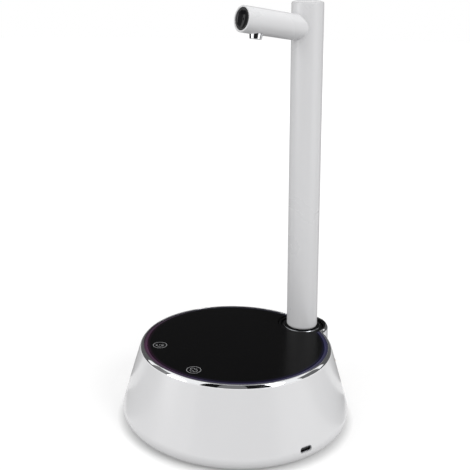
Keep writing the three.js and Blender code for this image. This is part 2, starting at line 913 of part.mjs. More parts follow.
function columnSpigot() {
  const flangeBottom = footHeight + columnFootFloor;
  const flangeTop = flangeBottom + 6;
  const barbRoot = flangeTop;
  const barb = barbProfile(tubeBarb, barbBore, barbRoot, spigotBarbTop - barbRoot);
  return atColumn(revolve([
    [nippleSocket, spigotBottom],
    [spigotRadius - 1, spigotBottom],
    [spigotRadius, spigotBottom + 1],
    ...groovePoints(spigotRadius, oRingGroove, oRingHeight, oRingSection),
    [spigotRadius, flangeBottom],
    [columnBore - slip, flangeBottom],
    [columnBore - slip, flangeTop],
    ...barb.slice(1),
    [barbBore, nippleTop + 2],
    [nippleSocket, nippleTop + 2],
  ], innerRound));
}

function columnTube() {
  const footCentre = columnRadius - columnDraft - columnFootRound;
  const bar = revolve([
    [0, footHeight],
    ...arcPoints(footCentre, footHeight + columnFootRound, columnFootRound, -90, 0, 3),
    [columnRadius, columnTop - slip],
    [columnRadius - slip, columnTop],
    [0, columnTop],
  ], midRound);
  const footHole = rod(spigotRadius + slip, footHeight - 1, columnTop);
  const tube = cut(bar, footHole, rod(columnBore, footHeight + columnFootFloor, columnTop + 1));
  const hole = towardsFront(rod(collarRadius + slip, 0, 2 * columnRadius, smallRound));
  const tilted = hole.rotate([-THREE.MathUtils.radToDeg(spoutTilt), 0, 0]).translate([0, 0, spoutHeight]);
  return atColumn(cut(tube, tilted));
}

function columnCap() {
  const top = columnTop + capHeight;
  const plugRadius = columnBore - slip;
  const lid = revolve([
    [0, columnTop],
    [columnRadius - capShoulder[0], columnTop],
    [columnRadius - capShoulder[0], columnTop + capShoulder[1]],
    [columnRadius - capEdge[0], top - capEdge[1]],
    [columnRadius - 2 * capEdge[0], top - capEdge[1] / 3],
    [0, top],
  ], midRound);
  const plug = pipe(plugRadius, plugRadius - columnWall, columnTop - capPlugDepth, top - 1);
  return atColumn(join(plug, lid));
}

// Spout, in a frame at the column's axis whose -Y runs along the spout

const spoutGroup = new THREE.Group();
spoutGroup.position.set(0, columnOffset, spoutHeight);
spoutGroup.rotation.x = -spoutTilt;
product.add(spoutGroup);

const spoutTiltDegrees = THREE.MathUtils.radToDeg(spoutTilt);
const nozzlePlace = spoutReach - nozzleInset;

// The column's round side as the tilted spout sees it
function columnInSpoutFrame(radius) {
  return rod(radius, -3 * columnRadius, 3 * columnRadius, midRound).rotate([spoutTiltDegrees, 0, 0]);
}

function spoutTube() {
  const shell = revolve([
    [spoutBore, columnRadius / 2],
    [spoutRadius, columnRadius / 2],
    ...arcPoints(spoutRadius - spoutEdgeRound, spoutReach - spoutEdgeRound, spoutEdgeRound, 0, 90, 2),
    [spoutBore, spoutReach],
  ], midRound);
  const bulkheadFrom = columnRadius + 1;
  const bulkhead = pipe(spoutBore + 0.5, collarRadius - collarWall, bulkheadFrom, bulkheadFrom + 2, midRound);
  const collarFrom = bulkheadFrom - collarLength;
  const collar = pipe(collarRadius, collarRadius - collarWall, collarFrom, bulkheadFrom + 1, smallRound);
  const body = cut(towardsFront(join(shell, bulkhead)), columnInSpoutFrame(columnRadius + slip));
  const nozzleHole = rod(nozzleTopRadius + slip, -2 * spoutRadius, 0, smallRound)
    .translate([0, -nozzlePlace, 0]);
  return cut(join(body, towardsFront(collar)), nozzleHole);
}

function spoutEndDisc() {
  const face = spoutReach - discRecess;
  const rim = spoutBore - slip;
  return towardsFront(revolve([
    [rim - 1.5, face - discPlugDepth],
    [rim, face - discPlugDepth],
    [rim, face],
    [rim - 1.2, face],
    [discDishRadius, face - discDish * 0.8],
    [0, face - discDish],
    [0, face - discDish - 2],
    [rim - 1.5, face - discDish - 2],
  ], midRound));
}

function headElbow() {
  const riser = elbowBend + barbLength;
  const forward = new THREE.Vector3(0, -Math.cos(spoutTilt), Math.sin(spoutTilt));
  const path = new THREE.CurvePath();
  const [low, bendStart] = [new THREE.Vector3(0, 0, -riser), new THREE.Vector3(0, 0, -elbowBend)];
  const bendEnd = forward.clone().multiplyScalar(elbowBend);
  const tip = forward.clone().multiplyScalar(elbowBend + barbLength);
  path.add(new THREE.LineCurve3(low, bendStart));
  path.add(new THREE.QuadraticBezierCurve3(bendStart, new THREE.Vector3(), bendEnd));
  path.add(new THREE.LineCurve3(bendEnd, tip));
  const body = sweep(path, tubeBarb, barbBore, 12, tinyRound);
  return body.translate([0, columnOffset, spoutHeight]);
}

function riserTube() {
  const bottom = footHeight + columnFootFloor + 6 + slip;
  const top = spoutHeight - elbowBend - slip;
  return atColumn(pipe(tubeRadius, tubeBore, bottom, top, smallRound));
}

const holderFrom = nozzlePlace - 6.2;
const holderTo = nozzlePlace + 6.2;

function spoutInnerTube() {
  return towardsFront(pipe(tubeRadius, tubeBore, elbowBend + slip, holderFrom - slip, smallRound));
}

function nozzleHolder() {
  const plug = rod(spoutBore - slip, holderFrom, holderTo, midRound);
  const barb = revolve(barbProfile(tubeBarb, barbBore, holderFrom - barbLength, barbLength), smallRound);
  const stem = revolve([
    [barbBore, holderFrom - barbLength],
    [tubeBarb * 0.8, holderFrom - barbLength],
    [tubeBarb, holderFrom - barbLength * 0.8],
    [tubeBarb, holderFrom + 1],
    [barbBore, holderFrom + 1],
  ], smallRound);
  const bore = rod(barbBore, holderFrom - barbLength - 1, nozzlePlace, tinyRound);
  const socket = rod(nozzleThreadRadius + slip, -spoutRadius, nozzleThreadLength - spoutRadius + 2.5, smallRound)
    .translate([0, -nozzlePlace, 0]);
  const rise = rod(barbBore, -spoutRadius, 0, tinyRound).translate([0, -nozzlePlace, 0]);
  const seatRoom = rod(nozzleTopRadius + slip, -2 * spoutRadius, 1.6 - spoutRadius, smallRound)
    .translate([0, -nozzlePlace, 0]);
  return cut(towardsFront(cut(join(plug, stem), bore)), socket, rise, seatRoom);
}

const nozzleTip = -spoutRadius - nozzleDrop;

function nozzle() {
  const shoulder = 1.2 - spoutRadius;
  return revolve([
    [nozzleMouthRadius, nozzleTip],
    [nozzleTipRadius - 0.2, nozzleTip],
    [nozzleTipRadius, nozzleTip + 0.3],
    [nozzleTopRadius, shoulder],
    [nozzleThreadRadius, shoulder],
    [nozzleThreadRadius, shoulder + nozzleThreadLength],
    [nozzleBore, shoulder + nozzleThreadLength],
    [nozzleBore, nozzleTip + nozzleMouthDepth],
    [nozzleMouthRadius, nozzleTip + nozzleMouthDepth],
  ], nozzleRound).translate([0, -nozzlePlace, 0]);
}

function aerator() {
  const bottom = nozzleTip + nozzleMouthDepth - aeratorThickness - slip / 2;
  const disc = rod(nozzleMouthRadius - slip / 2, bottom, bottom + aeratorThickness, smallRound);
  const ring = [0, 60, 120, 180, 240, 300].map((degrees) => {
    const [x, y] = onCircle(nozzleMouthRadius * 0.55, THREE.MathUtils.degToRad(degrees));
    return rod(aeratorHole, bottom - 1, bottom + 3, pegRound).translate([x, y, 0]);
  });
  const centre = rod(aeratorHole, bottom - 1, bottom + 3, pegRound);
  return cut(disc, centre, ...ring).translate([0, -nozzlePlace, 0]);
}

// Underside

function antiSlipPad() {
  return rod(padRadius, 0, padThickness, hiddenRound);
}

function chargeBoardPosts() {
  const middle = socketMouth - socketLength - chargeBoardDepth / 4;
  return [[middle, -7], [middle, 7]];
}

const socketMouth = bulgeRadius - socketRecess - slip;
const chargeBoardTop = socketHeight - socketTall / 2 - 0.05;

function bottomCover() {
  const disc = rod(coverRadius, standHeight, coverTop, hiddenRound);
  const padRecess = rod(padRadius + slip, 0, padThickness, hiddenRound);
  const posts = chargeBoardPosts().map(([x, y]) => {
    return rod(2.6, standHeight + 1, chargeBoardTop - boardThickness, tinyRound).translate([x, y, 0]);
  });
  const saddleHalf = motorRadius + sleeveWall + clampStrap + clampFoot + slip;
  const saddleY = pumpY + motorLength / 2 - clampWidth / 2;
  const saddle = block(
    pumpX - saddleHalf, pumpX + saddleHalf,
    saddleY, saddleY + clampWidth,
    standHeight + 1, clampBlockTop,
  );
  const sleeveRoom = pumpAxis(rod(motorRadius + sleeveWall + slip, 0, 2 * motorLength, innerRound));
  const screwHoles = coverScrewPlaces().map(([x, y]) => {
    const hole = rod(screwRadius + slip, 0, coverTop + 1, pegRound);
    const counterbore = rod(screwHeadRadius + slip, 0, standHeight + screwHeadHeight + slip, tinyRound);
    return join(hole, counterbore).translate([x, y, 0]);
  });
  const barBosses = barStakePlaces().map(([x, y]) => {
    return rod(3, standHeight + 1, clampBlockTop, tinyRound).translate([x, y, 0]);
  });
  const stakes = [
    ...chargeBoardPosts().map((place) => stake(place, chargeBoardTop - boardThickness, boardThickness)),
    ...clampStakePlaces().map((place) => stake(place, clampBlockTop, clampStrap)),
    ...barStakePlaces().map((place) => stake(place, clampBlockTop, clampBarThickness)),
  ];
  const solid = cut(join(disc, saddle, ...posts, ...barBosses), padRecess, sleeveRoom, ...screwHoles);
  return join(solid, ...stakes);
}

function coverScrew([x, y]) {
  const bottom = standHeight + slip / 2;
  return screwUp(screwRadius, screwHeadRadius, bottom, screwHeadHeight, coverTop + screwBossHeight - 3)
    .translate([x, y, 0]);
}

// Charging socket and its board

function socketCase() {
  const back = socketMouth - socketLength;
  const tube = cut(
    alongX(socketOutline(0), back, socketMouth),
    alongX(socketOutline(-socketShell), back + socketShell, socketMouth + 1),
  );
  return tube;
}

function socketTongue() {
  const back = socketMouth - socketLength + socketShell + 0.1;
  const root = alongX(socketOutline(-socketShell - 0.1), back, back + 1.5);
  const tongue = block(
    back + 1, back + 1.5 + tongueLength,
    -tongueWidth / 2, tongueWidth / 2,
    socketHeight - tongueThickness / 2, socketHeight + tongueThickness / 2,
  );
  return join(root, tongue);
}

function chargeBoard() {
  const front = socketMouth - chargeBoardSetback;
  const back = front - chargeBoardDepth;
  const half = chargeBoardWidth / 2;
  const bottom = chargeBoardTop - boardThickness;
  const board = block(back, front, -half, half, bottom, chargeBoardTop);
  const chip = block(back + 3, back + 8, -3, 3, chargeBoardTop - 0.5, chargeBoardTop + 1.2);
  const connector = block(back + 1, back + 7, 4, 9, chargeBoardTop - 0.5, chargeBoardTop + 5);
  return cut(join(board, chip, connector), stakeHoles(chargeBoardPosts()));
}

// Battery

const cellCentreHeight = coverTop + trayWall / 2 + slip + cellRadius;

function cellCentres() {
  return [batteryX - cellSpacing / 2, batteryX + cellSpacing / 2];
}

function batteryCell(x) {
  const cell = revolve([
    [0, 0],
    [cellRadius - 0.8, 0],
    [cellRadius, 0.8],
    [cellRadius, cellLength - 2],
    [cellRadius - 0.8, cellLength - 1.2],
    [2.8, cellLength - 1.2],
    [2.8, cellLength],
    [0, cellLength],
  ], innerRound);
  return towardsBack(cell).translate([x, batteryY - cellLength / 2, cellCentreHeight]);
}

function batteryTray() {
  const halfX = cellSpacing / 2 + cellRadius + trayWall;
  const halfY = cellLength / 2 + slip + trayWall;
  const tray = block(
    batteryX - halfX, batteryX + halfX,
    batteryY - halfY, batteryY + halfY,
    coverTop, coverTop + trayHeight,
  );
  const rooms = cellCentres().map((x) => {
    return towardsBack(rod(cellRadius + slip, -slip, cellLength + slip, innerRound))
      .translate([x, batteryY - cellLength / 2, cellCentreHeight]);
  });
  const middle = block(
    batteryX - 4, batteryX + 4,
    batteryY - cellLength / 2 + 6, batteryY + cellLength / 2 - 6,
    coverTop + trayWall, coverTop + trayHeight + 1,
  );
  return cut(tray, middle, ...rooms);
}

const barHalf = cellSpacing / 2 + cellRadius + trayWall + slip;

function barStakePlaces() {
  return [[batteryX - barHalf - 5, batteryY], [batteryX + barHalf + 5, batteryY]];
}

// Bridge over the cells, with a foot at each end
function batteryBar() {
  const top = cellCentreHeight + cellRadius + slip + clampBarThickness;
  const shape = new THREE.Shape();
  const [inner, leg, foot] = [barHalf, barHalf + clampBarThickness, barHalf + 8];
  shape.moveTo(-foot, clampBlockTop);
  shape.lineTo(-inner, clampBlockTop);
  shape.lineTo(-inner, top - clampBarThickness);
  shape.lineTo(inner, top - clampBarThickness);
  shape.lineTo(inner, clampBlockTop);
  shape.lineTo(foot, clampBlockTop);
  shape.lineTo(foot, clampBlockTop + clampBarThickness);
  shape.lineTo(leg, clampBlockTop + clampBarThickness);
  shape.lineTo(leg, top);
  shape.lineTo(-leg, top);
  shape.lineTo(-leg, clampBlockTop + clampBarThickness);
  shape.lineTo(-foot, clampBlockTop + clampBarThickness);
  const bar = plate(shape, -clampBarWidth / 2, clampBarWidth / 2).rotate([90, 0, 0])
    .translate([batteryX, batteryY, 0]);
  return cut(bar, stakeHoles(barStakePlaces()));
}

// Pump, built along Z and laid along +Y

function pumpAxis(solid) {
  return towardsBack(solid).translate(motorAxis.toArray());
}

const chamberFrom = motorLength + slip;
const chamberTo = chamberFrom + chamberDepth;
const diaphragmFrom = chamberTo + slip;
const valveFrom = diaphragmFrom + diaphragmThickness + slip;
const headFrom = valveFrom + valvePlateThickness + slip;
const headTo = headFrom + headCoverThickness;

function headOutline(extra = 0) {
  return roundedRectangle(headSize + extra, headSize + extra, headCorner);
}

function headScrewPlaces() {
  const d = headScrewOffset;
  return [[-d, -d], [d, -d], [d, d], [-d, d]];
}

function headHoles(from, to) {
  return headScrewPlaces().map(([x, y]) => {
    return rod(headScrewRadius + slip, from - 1, to + 1, pegRound).translate([x, y, 0]);
  });
}

function pumpMotor() {
  const can = revolve([
    [0, 1.5],
    [motorBossRadius, 1.5],
    [motorRadius - 1.5, 1.5],
    [motorRadius, 3],
    [motorRadius, motorLength - 1.5],
    [motorRadius - 1.5, motorLength],
    [motorBossRadius, motorLength],
    [motorBossRadius, motorLength + motorBossLength],
    [0, motorLength + motorBossLength],
  ], innerRound);
  const bore = rod(shaftRadius + slip, 4, 2 * motorLength, tinyRound);
  return pumpAxis(cut(can, bore));
}

function motorEndCap() {
  const body = revolve([
    [0, -1.5], [3.5, -1.5], [3.5, 0], [motorRadius - 2, 0],
    [motorRadius - 2, 1.2], [0, 1.2],
  ], innerRound);
  const terminal = block(-1.4, 1.4, -0.3, 0.3, -6, 0.5);
  const terminals = [-8, 8].map((x) => terminal.translate([x, 0, 0]));
  return pumpAxis(join(body, ...terminals));
}

const eccentricFrom = chamberFrom + chamberFloor + 1;
const eccentricTo = eccentricFrom + eccentricLength;

function motorShaft() {
  return pumpAxis(rod(shaftRadius, 4 + slip, eccentricTo - 1, tinyRound));
}

function eccentric() {
  const hub = rod(eccentricRadius, eccentricFrom, eccentricTo, innerRound);
  const pin = rod(crankRadius, eccentricTo - 0.5, eccentricTo + 2, tinyRound).translate([crankOffset, 0, 0]);
  const bore = rod(shaftRadius + slip, eccentricFrom - 1, eccentricTo - 1 + slip, tinyRound);
  return pumpAxis(cut(join(hub, pin), bore));
}

function pumpChamber() {
  const body = plate(headOutline(), chamberFrom, chamberTo, 2);
  const room = rod(chamberRadius, chamberFrom + chamberFloor, chamberTo + 1, innerRound);
  const bossHole = rod(motorBossRadius + slip, chamberFrom - 1, chamberTo, smallRound);
  return pumpAxis(cut(body, room, bossHole, ...headHoles(chamberFrom, chamberTo)));
}

function cupPlaces() {
  return [90, 210, 330].map((degrees) => onCircle(cupCircle, THREE.MathUtils.degToRad(degrees)));
}

function diaphragm() {
  const sheet = plate(headOutline(-1), diaphragmFrom, diaphragmFrom + diaphragmThickness, 2);
  const cups = cupPlaces().map(([x, y]) => {
    return taper(cupRadius * 0.7, diaphragmFrom - cupDepth, cupRadius, diaphragmFrom + 0.5, tinyRound)
      .translate([x, y, 0]);
  });
  return pumpAxis(cut(join(sheet, ...cups), ...headHoles(diaphragmFrom, valveFrom)));
}

function wobblePlate() {
  const top = diaphragmFrom - cupDepth - slip;
  const disc = rod(chamberRadius - 1, top - 1.4, top, innerRound);
  const pinRoom = rod(crankOffset + crankRadius + slip, top - 3, top - 0.5, smallRound);
  const stem = cut(rod(crankOffset + crankRadius + 1.2, top - 2.2, top - 1, smallRound), pinRoom);
  return pumpAxis(cut(join(disc, stem), pinRoom));
}

function valvePlate() {
  const body = plate(headOutline(), valveFrom, valveFrom + valvePlateThickness, 2);
  const holes = cupPlaces().map(([x, y]) => {
    return rod(1.2, valveFrom - 1, headFrom + 1, pegRound).translate([x, y, 0]);
  });
  const well = rod(chamberRadius - 1, headFrom - slip - 1, headFrom + 1, innerRound);
  return pumpAxis(cut(body, well, ...holes, ...headHoles(valveFrom, headFrom)));
}

function headCover() {
  const body = plate(headOutline(), headFrom, headTo, 2);
  const ports = [-portSpacing / 2, portSpacing / 2].map((x) => {
    const root = rod(tubeBarb + 1.4, headTo - 1, headTo + 1.5, tinyRound);
    const barb = revolve(barbProfile(tubeBarb, barbBore, headTo - 2, barbLength + 2), tinyRound);
    return join(root, barb).translate([x, 0, 0]);
  });
  const bores = [-portSpacing / 2, portSpacing / 2].map((x) => {
    return rod(barbBore, headFrom - 1, headTo + 2 * barbLength, tinyRound).translate([x, 0, 0]);
  });
  return pumpAxis(cut(join(body, ...ports), ...bores, ...headHoles(headFrom, headTo)));
}

function headScrew([x, y]) {
  const screw = screwUp(headScrewRadius, 2, -1.4, 1.4, headTo - chamberFrom - 2);
  return pumpAxis(screw.rotate([180, 0, 0]).translate([x, y, headTo]));
}

function motorSleeve() {
  const from = (motorLength - sleeveLength) / 2;
  const inner = motorRadius + slip / 2;
  return pumpAxis(pipe(motorRadius + sleeveWall, inner, from, from + sleeveLength, innerRound));
}

function clampStakePlaces() {
  const offset = motorRadius + sleeveWall + slip + clampStrap + clampFoot / 2;
  const y = pumpY + motorLength / 2;
  return [[pumpX - offset, y], [pumpX + offset, y]];
}

// Strap bent over the motor's sleeve, with a foot on each side
function motorClamp() {
  const inner = motorRadius + sleeveWall + slip;
  const outer = inner + clampStrap;
  const foot = outer + clampFoot;
  const base = clampBlockTop - pumpHeight;
  const shape = new THREE.Shape();
  shape.moveTo(foot, base);
  shape.lineTo(foot, base + clampStrap);
  shape.lineTo(outer, base + clampStrap);
  shape.absarc(0, 0, outer, 0, Math.PI);
  shape.lineTo(-outer, base + clampStrap);
  shape.lineTo(-foot, base + clampStrap);
  shape.lineTo(-foot, base);
  shape.lineTo(-inner, base);
  shape.absarc(0, 0, inner, Math.PI, 0, true);
  shape.lineTo(inner, base);
  const strap = plate(shape, -clampWidth / 2, clampWidth / 2, 6).rotate([90, 0, 0])
    .translate([pumpX, pumpY + motorLength / 2, pumpHeight]);
  return cut(strap, stakeHoles(clampStakePlaces()));
}

// Hose inlet and the tubes inside the base

function inletFitting() {
  const flangeTop = inletFace + inletFlangeThickness;
  const hoseTip = flangeTop + inletHoseLength;
  const threadEnd = inletNutFace - inletThreadInside;
  const tip = threadEnd - inletBarbLength;
  return atInlet(revolve([
    [barbBore, tip],
    [tubeBarb * 0.8, tip],
    [tubeBarb, tip + 2],
    [tubeBarb, threadEnd],
    [inletThreadRadius, threadEnd],
    [inletThreadRadius, inletFace],
    [inletFlangeRadius, inletFace],
    [inletFlangeRadius, flangeTop],
    [inletHoseBarb * 0.9, flangeTop],
    [inletHoseBarb * 0.9, flangeTop + 5],
    [inletHoseBarb * 1.08, flangeTop + 5],
    [inletHoseBarb * 0.9, flangeTop + 10],
    [inletHoseBarb * 1.08, flangeTop + 10],
    [inletHoseBarb * 0.9, hoseTip],
    [inletHoseBore, hoseTip],
    [inletHoseBore, threadEnd],
    [barbBore, threadEnd - 2],
  ], smallRound));
}

function inletNut() {
  const hex = new THREE.CylinderGeometry(inletNutRadius, inletNutRadius, inletNutThickness, 6);
  const nut = solidOf(hex.rotateX(Math.PI / 2))
    .translate([0, 0, inletNutFace - inletNutThickness / 2]);
  return atInlet(cut(nut, rod(inletThreadRadius + slip / 2, 0, bulgeRadius, smallRound)));
}

function hose(points, steps) {
  return sweep(new THREE.CatmullRomCurve3(points, false, "centripetal"), tubeRadius, tubeBore, steps);
}

// Where a tube starts over one of the pump's two ports
function portPlace(side) {
  return [pumpX + side * portSpacing / 2, pumpY + headTo + 1.5 + slip];
}

function inletTube() {
  const start = inletNutFace - inletThreadInside - slip;
  const straightEnd = start - inletBarbLength - 1;
  const [portX, portY] = portPlace(1);
  const bow = Math.min(portY + 4 * tubeRadius + 1, straightEnd - 2 * tubeRadius);
  const rise = pumpHeight - inletHeight;
  return hose([
    new THREE.Vector3(0, start, inletHeight),
    new THREE.Vector3(0, start - inletBarbLength / 2, inletHeight),
    new THREE.Vector3(0, straightEnd, inletHeight),
    new THREE.Vector3(-tubeRadius, bow + tubeRadius, inletHeight),
    new THREE.Vector3(portX / 2, bow, inletHeight + rise / 4),
    new THREE.Vector3(portX + 2 * tubeRadius, bow + 1, inletHeight + 0.7 * rise),
    new THREE.Vector3(portX + slip, (bow + portY + barbLength) / 2, pumpHeight),
    new THREE.Vector3(portX, portY + barbLength / 2, pumpHeight),
    new THREE.Vector3(portX, portY, pumpHeight),
  ], 11);
}

function outletTube() {
  const [portX, portY] = portPlace(-1);
  const barbEnd = -seatElbowRadius - barbLength;
  return hose([
    new THREE.Vector3(portX, portY, pumpHeight),
    new THREE.Vector3(portX, portY + barbLength, pumpHeight),
    new THREE.Vector3(portX + tubeRadius / 2, (portY + barbLength + columnOffset) / 2, pumpHeight),
    new THREE.Vector3(barbEnd - 5 * tubeRadius, columnOffset - tubeRadius, seatElbowHeight),
    new THREE.Vector3(barbEnd - 3 * tubeRadius, columnOffset, seatElbowHeight),
    new THREE.Vector3(barbEnd, columnOffset, seatElbowHeight),
    new THREE.Vector3(-seatElbowRadius - 1.5, columnOffset, seatElbowHeight),
  ], 9);
}

// Assembly

part("base_housing", baseHousing(), whitePlastic);
part("chrome_rim", chromeRim(), chromePlate);
part("light_ring", lightRing(), diffuser);
part("led_board", ledBoard(), boardGreen);
part("top_panel", topPanel(), blackGloss);
part("panel_carrier", panelCarrier(), blackPlastic);
keyPlaces().forEach(([x, y], i) => {
  part(`touch_spring_${["left", "right"][i]}`, touchSpring().translate([x, y, 0]), steel);
});
part("control_board", controlBoard(), boardGreen);

part("bottom_cover", bottomCover(), whiteInner);
part("anti_slip_pad", antiSlipPad(), rubber);
coverScrewPlaces().forEach((place, i) => part(`cover_screw_${i + 1}`, coverScrew(place), steel));

part("column_seat", columnSeat(), blackPlastic);
part("seat_cap", seatCap(), whiteInner);
part("nipple_o_ring", oRing(nippleORingRadius, nippleORingSection, nippleORingHeight), rubber);
part("swivel_collar", swivelCollar(), blackPlastic);
part("retaining_clip", retainingClip(), steel);

part("column_spigot", columnSpigot(), whiteInner);
part("spigot_o_ring", oRing(oRingRadius, oRingSection, oRingHeight), rubber);
part("column_tube", columnTube(), whitePlastic);
part("column_cap", columnCap(), whitePlastic);
part("riser_tube", riserTube(), silicone);
part("head_elbow", headElbow(), whiteInner);

part("spout_tube", spoutTube(), whitePlastic, spoutGroup);
part("spout_end_disc", spoutEndDisc(), blackGloss, spoutGroup);
part("spout_inner_tube", spoutInnerTube(), silicone, spoutGroup);
part("nozzle_holder", nozzleHolder(), whiteInner, spoutGroup);
part("nozzle", nozzle(), chromePlate, spoutGroup);
part("aerator", aerator(), blackPlastic, spoutGroup);

part("socket_case", socketCase(), steel);
part("socket_tongue", socketTongue(), blackPlastic);
part("charge_board", chargeBoard(), boardGreen);

part("battery_tray", batteryTray(), blackPlastic);
cellCentres().forEach((x, i) => part(`battery_cell_${i + 1}`, batteryCell(x), cellWrap));
part("battery_bar", batteryBar(), steel);

part("pump_motor", pumpMotor(), steel);
part("motor_end_cap", motorEndCap(), blackPlastic);
part("motor_shaft", motorShaft(), steel);
part("eccentric", eccentric(), whiteInner);
part("pump_chamber", pumpChamber(), blackPlastic);
part("wobble_plate", wobblePlate(), whiteInner);
part("diaphragm", diaphragm(), rubber);
part("valve_plate", valvePlate(), whiteInner);
part("head_cover", headCover(), blackPlastic);
headScrewPlaces().forEach((place, i) => part(`head_screw_${i + 1}`, headScrew(place), steel));
part("motor_sleeve", motorSleeve(), rubber);
part("motor_clamp", motorClamp(), steel);

part("inlet_fitting", inletFitting(), brass);
part("inlet_nut", inletNut(), brass);
part("inlet_tube", inletTube(), silicone);
part("outlet_tube", outletTube(), silicone);

export default product;
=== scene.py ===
import math

import bmesh
import bpy
from mathutils import Matrix, Vector


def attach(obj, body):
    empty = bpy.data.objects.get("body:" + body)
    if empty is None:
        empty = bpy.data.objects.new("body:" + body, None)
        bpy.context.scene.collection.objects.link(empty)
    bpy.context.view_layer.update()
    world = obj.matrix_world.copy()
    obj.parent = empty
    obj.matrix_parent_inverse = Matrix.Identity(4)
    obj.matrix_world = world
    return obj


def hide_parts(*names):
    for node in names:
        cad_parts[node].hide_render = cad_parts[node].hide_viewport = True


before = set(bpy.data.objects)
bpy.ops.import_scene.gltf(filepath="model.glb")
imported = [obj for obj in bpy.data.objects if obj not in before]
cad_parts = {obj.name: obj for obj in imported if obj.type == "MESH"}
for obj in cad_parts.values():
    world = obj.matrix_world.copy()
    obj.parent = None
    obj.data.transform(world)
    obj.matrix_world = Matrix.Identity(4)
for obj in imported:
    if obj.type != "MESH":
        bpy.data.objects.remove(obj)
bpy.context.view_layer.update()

upright = Matrix.Identity(4)
columnY = 62.4
print("frame loaded:", len(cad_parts), "nodes")


# sizes below are millimetres, Blender's are metres

def mm(*values):
    return Vector([value / 1000 for value in values])


def arc(centreR, centreZ, radius, start, end, steps):
    # (r, z) points along part of a circle, in degrees
    points = []
    for i in range(steps + 1):
        angle = math.radians(start + (end - start) * i / steps)
        points.append((centreR + radius * math.cos(angle), centreZ + radius * math.sin(angle)))
    return points


def rows(a, b, count):
    # points between two profile points, without the first
    return [(a[0] + (b[0] - a[0]) * i / count, a[1] + (b[1] - a[1]) * i / count)
            for i in range(1, count + 1)]


def supported(profile, closed, reach=0.12, longest=0.2):
    # long runs get a point near each end, so that soft corners don't bend the shading of flat faces
    made = []
    for a, b in zip(profile, profile[1:] + profile[:1]):
        made.append(a)
        share = reach / max(math.dist(a, b), reach)
        if share < longest:
            made += [(a[0] + (b[0] - a[0]) * part, a[1] + (b[1] - a[1]) * part)
                     for part in (share, 1 - share)]
    return made if closed else made[:made.index(profile[-1]) + 1]


def welded(bm, near=1e-6, shortest=1e-7):
    bmesh.ops.remove_doubles(bm, verts=bm.verts, dist=near)
    bmesh.ops.dissolve_degenerate(bm, edges=bm.edges, dist=shortest)
    return bm


def moved(bm, matrix):
    bmesh.ops.transform(bm, matrix=matrix, verts=bm.verts)
    return bm


def turned(profile, steps=96, closed=True, at=upright):
    # spins a profile of (r, z) points about Z
    bm = bmesh.new()
    profile = supported(profile, closed)
    verts = [bm.verts.new(mm(r, 0, z)) for r, z in profile]
    pairs = list(zip(verts, verts[1:]))
    if closed:
        pairs.append((verts[-1], verts[0]))
    edges = [bm.edges.new(pair) for pair in pairs]
    bmesh.ops.spin(bm, geom=verts + edges, cent=(0, 0, 0), axis=(0, 0, 1), dvec=(0, 0, 0),
                   angle=2 * math.pi, steps=steps, use_merge=True, use_duplicate=False)
    welded(bm)
    bmesh.ops.recalc_face_normals(bm, faces=bm.faces)
    return moved(bm, at)


def drum(radius, low, high, steps=96, at=upright):
    return turned([(0, low), (radius, low), (radius, high), (0, high)], steps, False, at)


def brick(x, y, z, at=upright):
    # a box from its low and high sides
    bm = bmesh.new()
    bmesh.ops.create_cube(bm, size=1)
    size = mm(x[1] - x[0], y[1] - y[0], z[1] - z[0])
    middle = mm((x[0] + x[1]) / 2, (y[0] + y[1]) / 2, (z[0] + z[1]) / 2)
    return moved(bm, at @ Matrix.Translation(middle) @ Matrix.Diagonal((*size, 1)))


def bevelled(bm, width, segments, picked=lambda edge: True):
    bmesh.ops.bevel(bm, geom=[edge for edge in bm.edges if picked(edge)], offset=width / 1000,
                    segments=segments, affect="EDGES", profile=0.5, material=-1)
    return bm


def merged(*meshes):
    # several meshes in one bmesh, without joining their surfaces
    whole = bmesh.new()
    for bm in meshes:
        held = bpy.data.meshes.new("held")
        bm.to_mesh(held)
        bm.free()
        whole.from_mesh(held)
        bpy.data.meshes.remove(held)
    return whole


def added(name, data):
    made = bpy.data.objects.new(name, data)
    bpy.context.scene.collection.objects.link(made)
    return made


def loose(bm, name):
    mesh = bpy.data.meshes.new(name)
    bm.to_mesh(mesh)
    bm.free()
    return added(name, mesh)


def cut(bm, *steps):
    # each step is (operation, tool), such as ("DIFFERENCE", drum(...))
    for operation, tool in steps:
        body, helper = loose(bm, "cutting"), loose(tool, "tool")
        modifier = body.modifiers.new("cut", "BOOLEAN")
        modifier.operation = operation
        modifier.solver = "EXACT"
        modifier.object = helper
        depsgraph = bpy.context.evaluated_depsgraph_get()
        made = bpy.data.meshes.new_from_object(body.evaluated_get(depsgraph))
        bm = bmesh.new()
        bm.from_mesh(made)
        for used in (body, helper):
            bpy.data.objects.remove(used)
        bpy.data.meshes.remove(made)
        welded(bm)
    return bm


def piece(bm, name, finish, body, slot, *nodes, sharp=32):
    # a finished piece on its body, in place of the CAD nodes that it names
    made = loose(bm, name)
    made.data.materials.append(finishes[finish])
    made.data.shade_smooth()
    made.data.set_sharp_from_angle(angle=math.radians(sharp))
    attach(made, body)
    if nodes:
        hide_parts(*nodes)
    return made


# shader nodes: a number or colour sets a socket, another node's output is linked to it

def feed(tree, node, values):
    for label, value in values.items():
        if isinstance(value, bpy.types.NodeSocket):
            tree.links.new(value, node.inputs[label])
        else:
            node.inputs[label].default_value = value


def addNode(tree, kind, values, **settings):
    node = tree.nodes.new("ShaderNode" + kind)
    for label, value in settings.items():
        setattr(node, label, value)
    feed(tree, node, values)
    return node


def noise(tree, place, scale, detail=3, roughness=0.5, distortion=0.0):
    values = {"Vector": place, "Scale": scale, "Detail": detail, "Roughness": roughness,
              "Distortion": distortion}
    return addNode(tree, "TexNoise", values).outputs["Fac"]


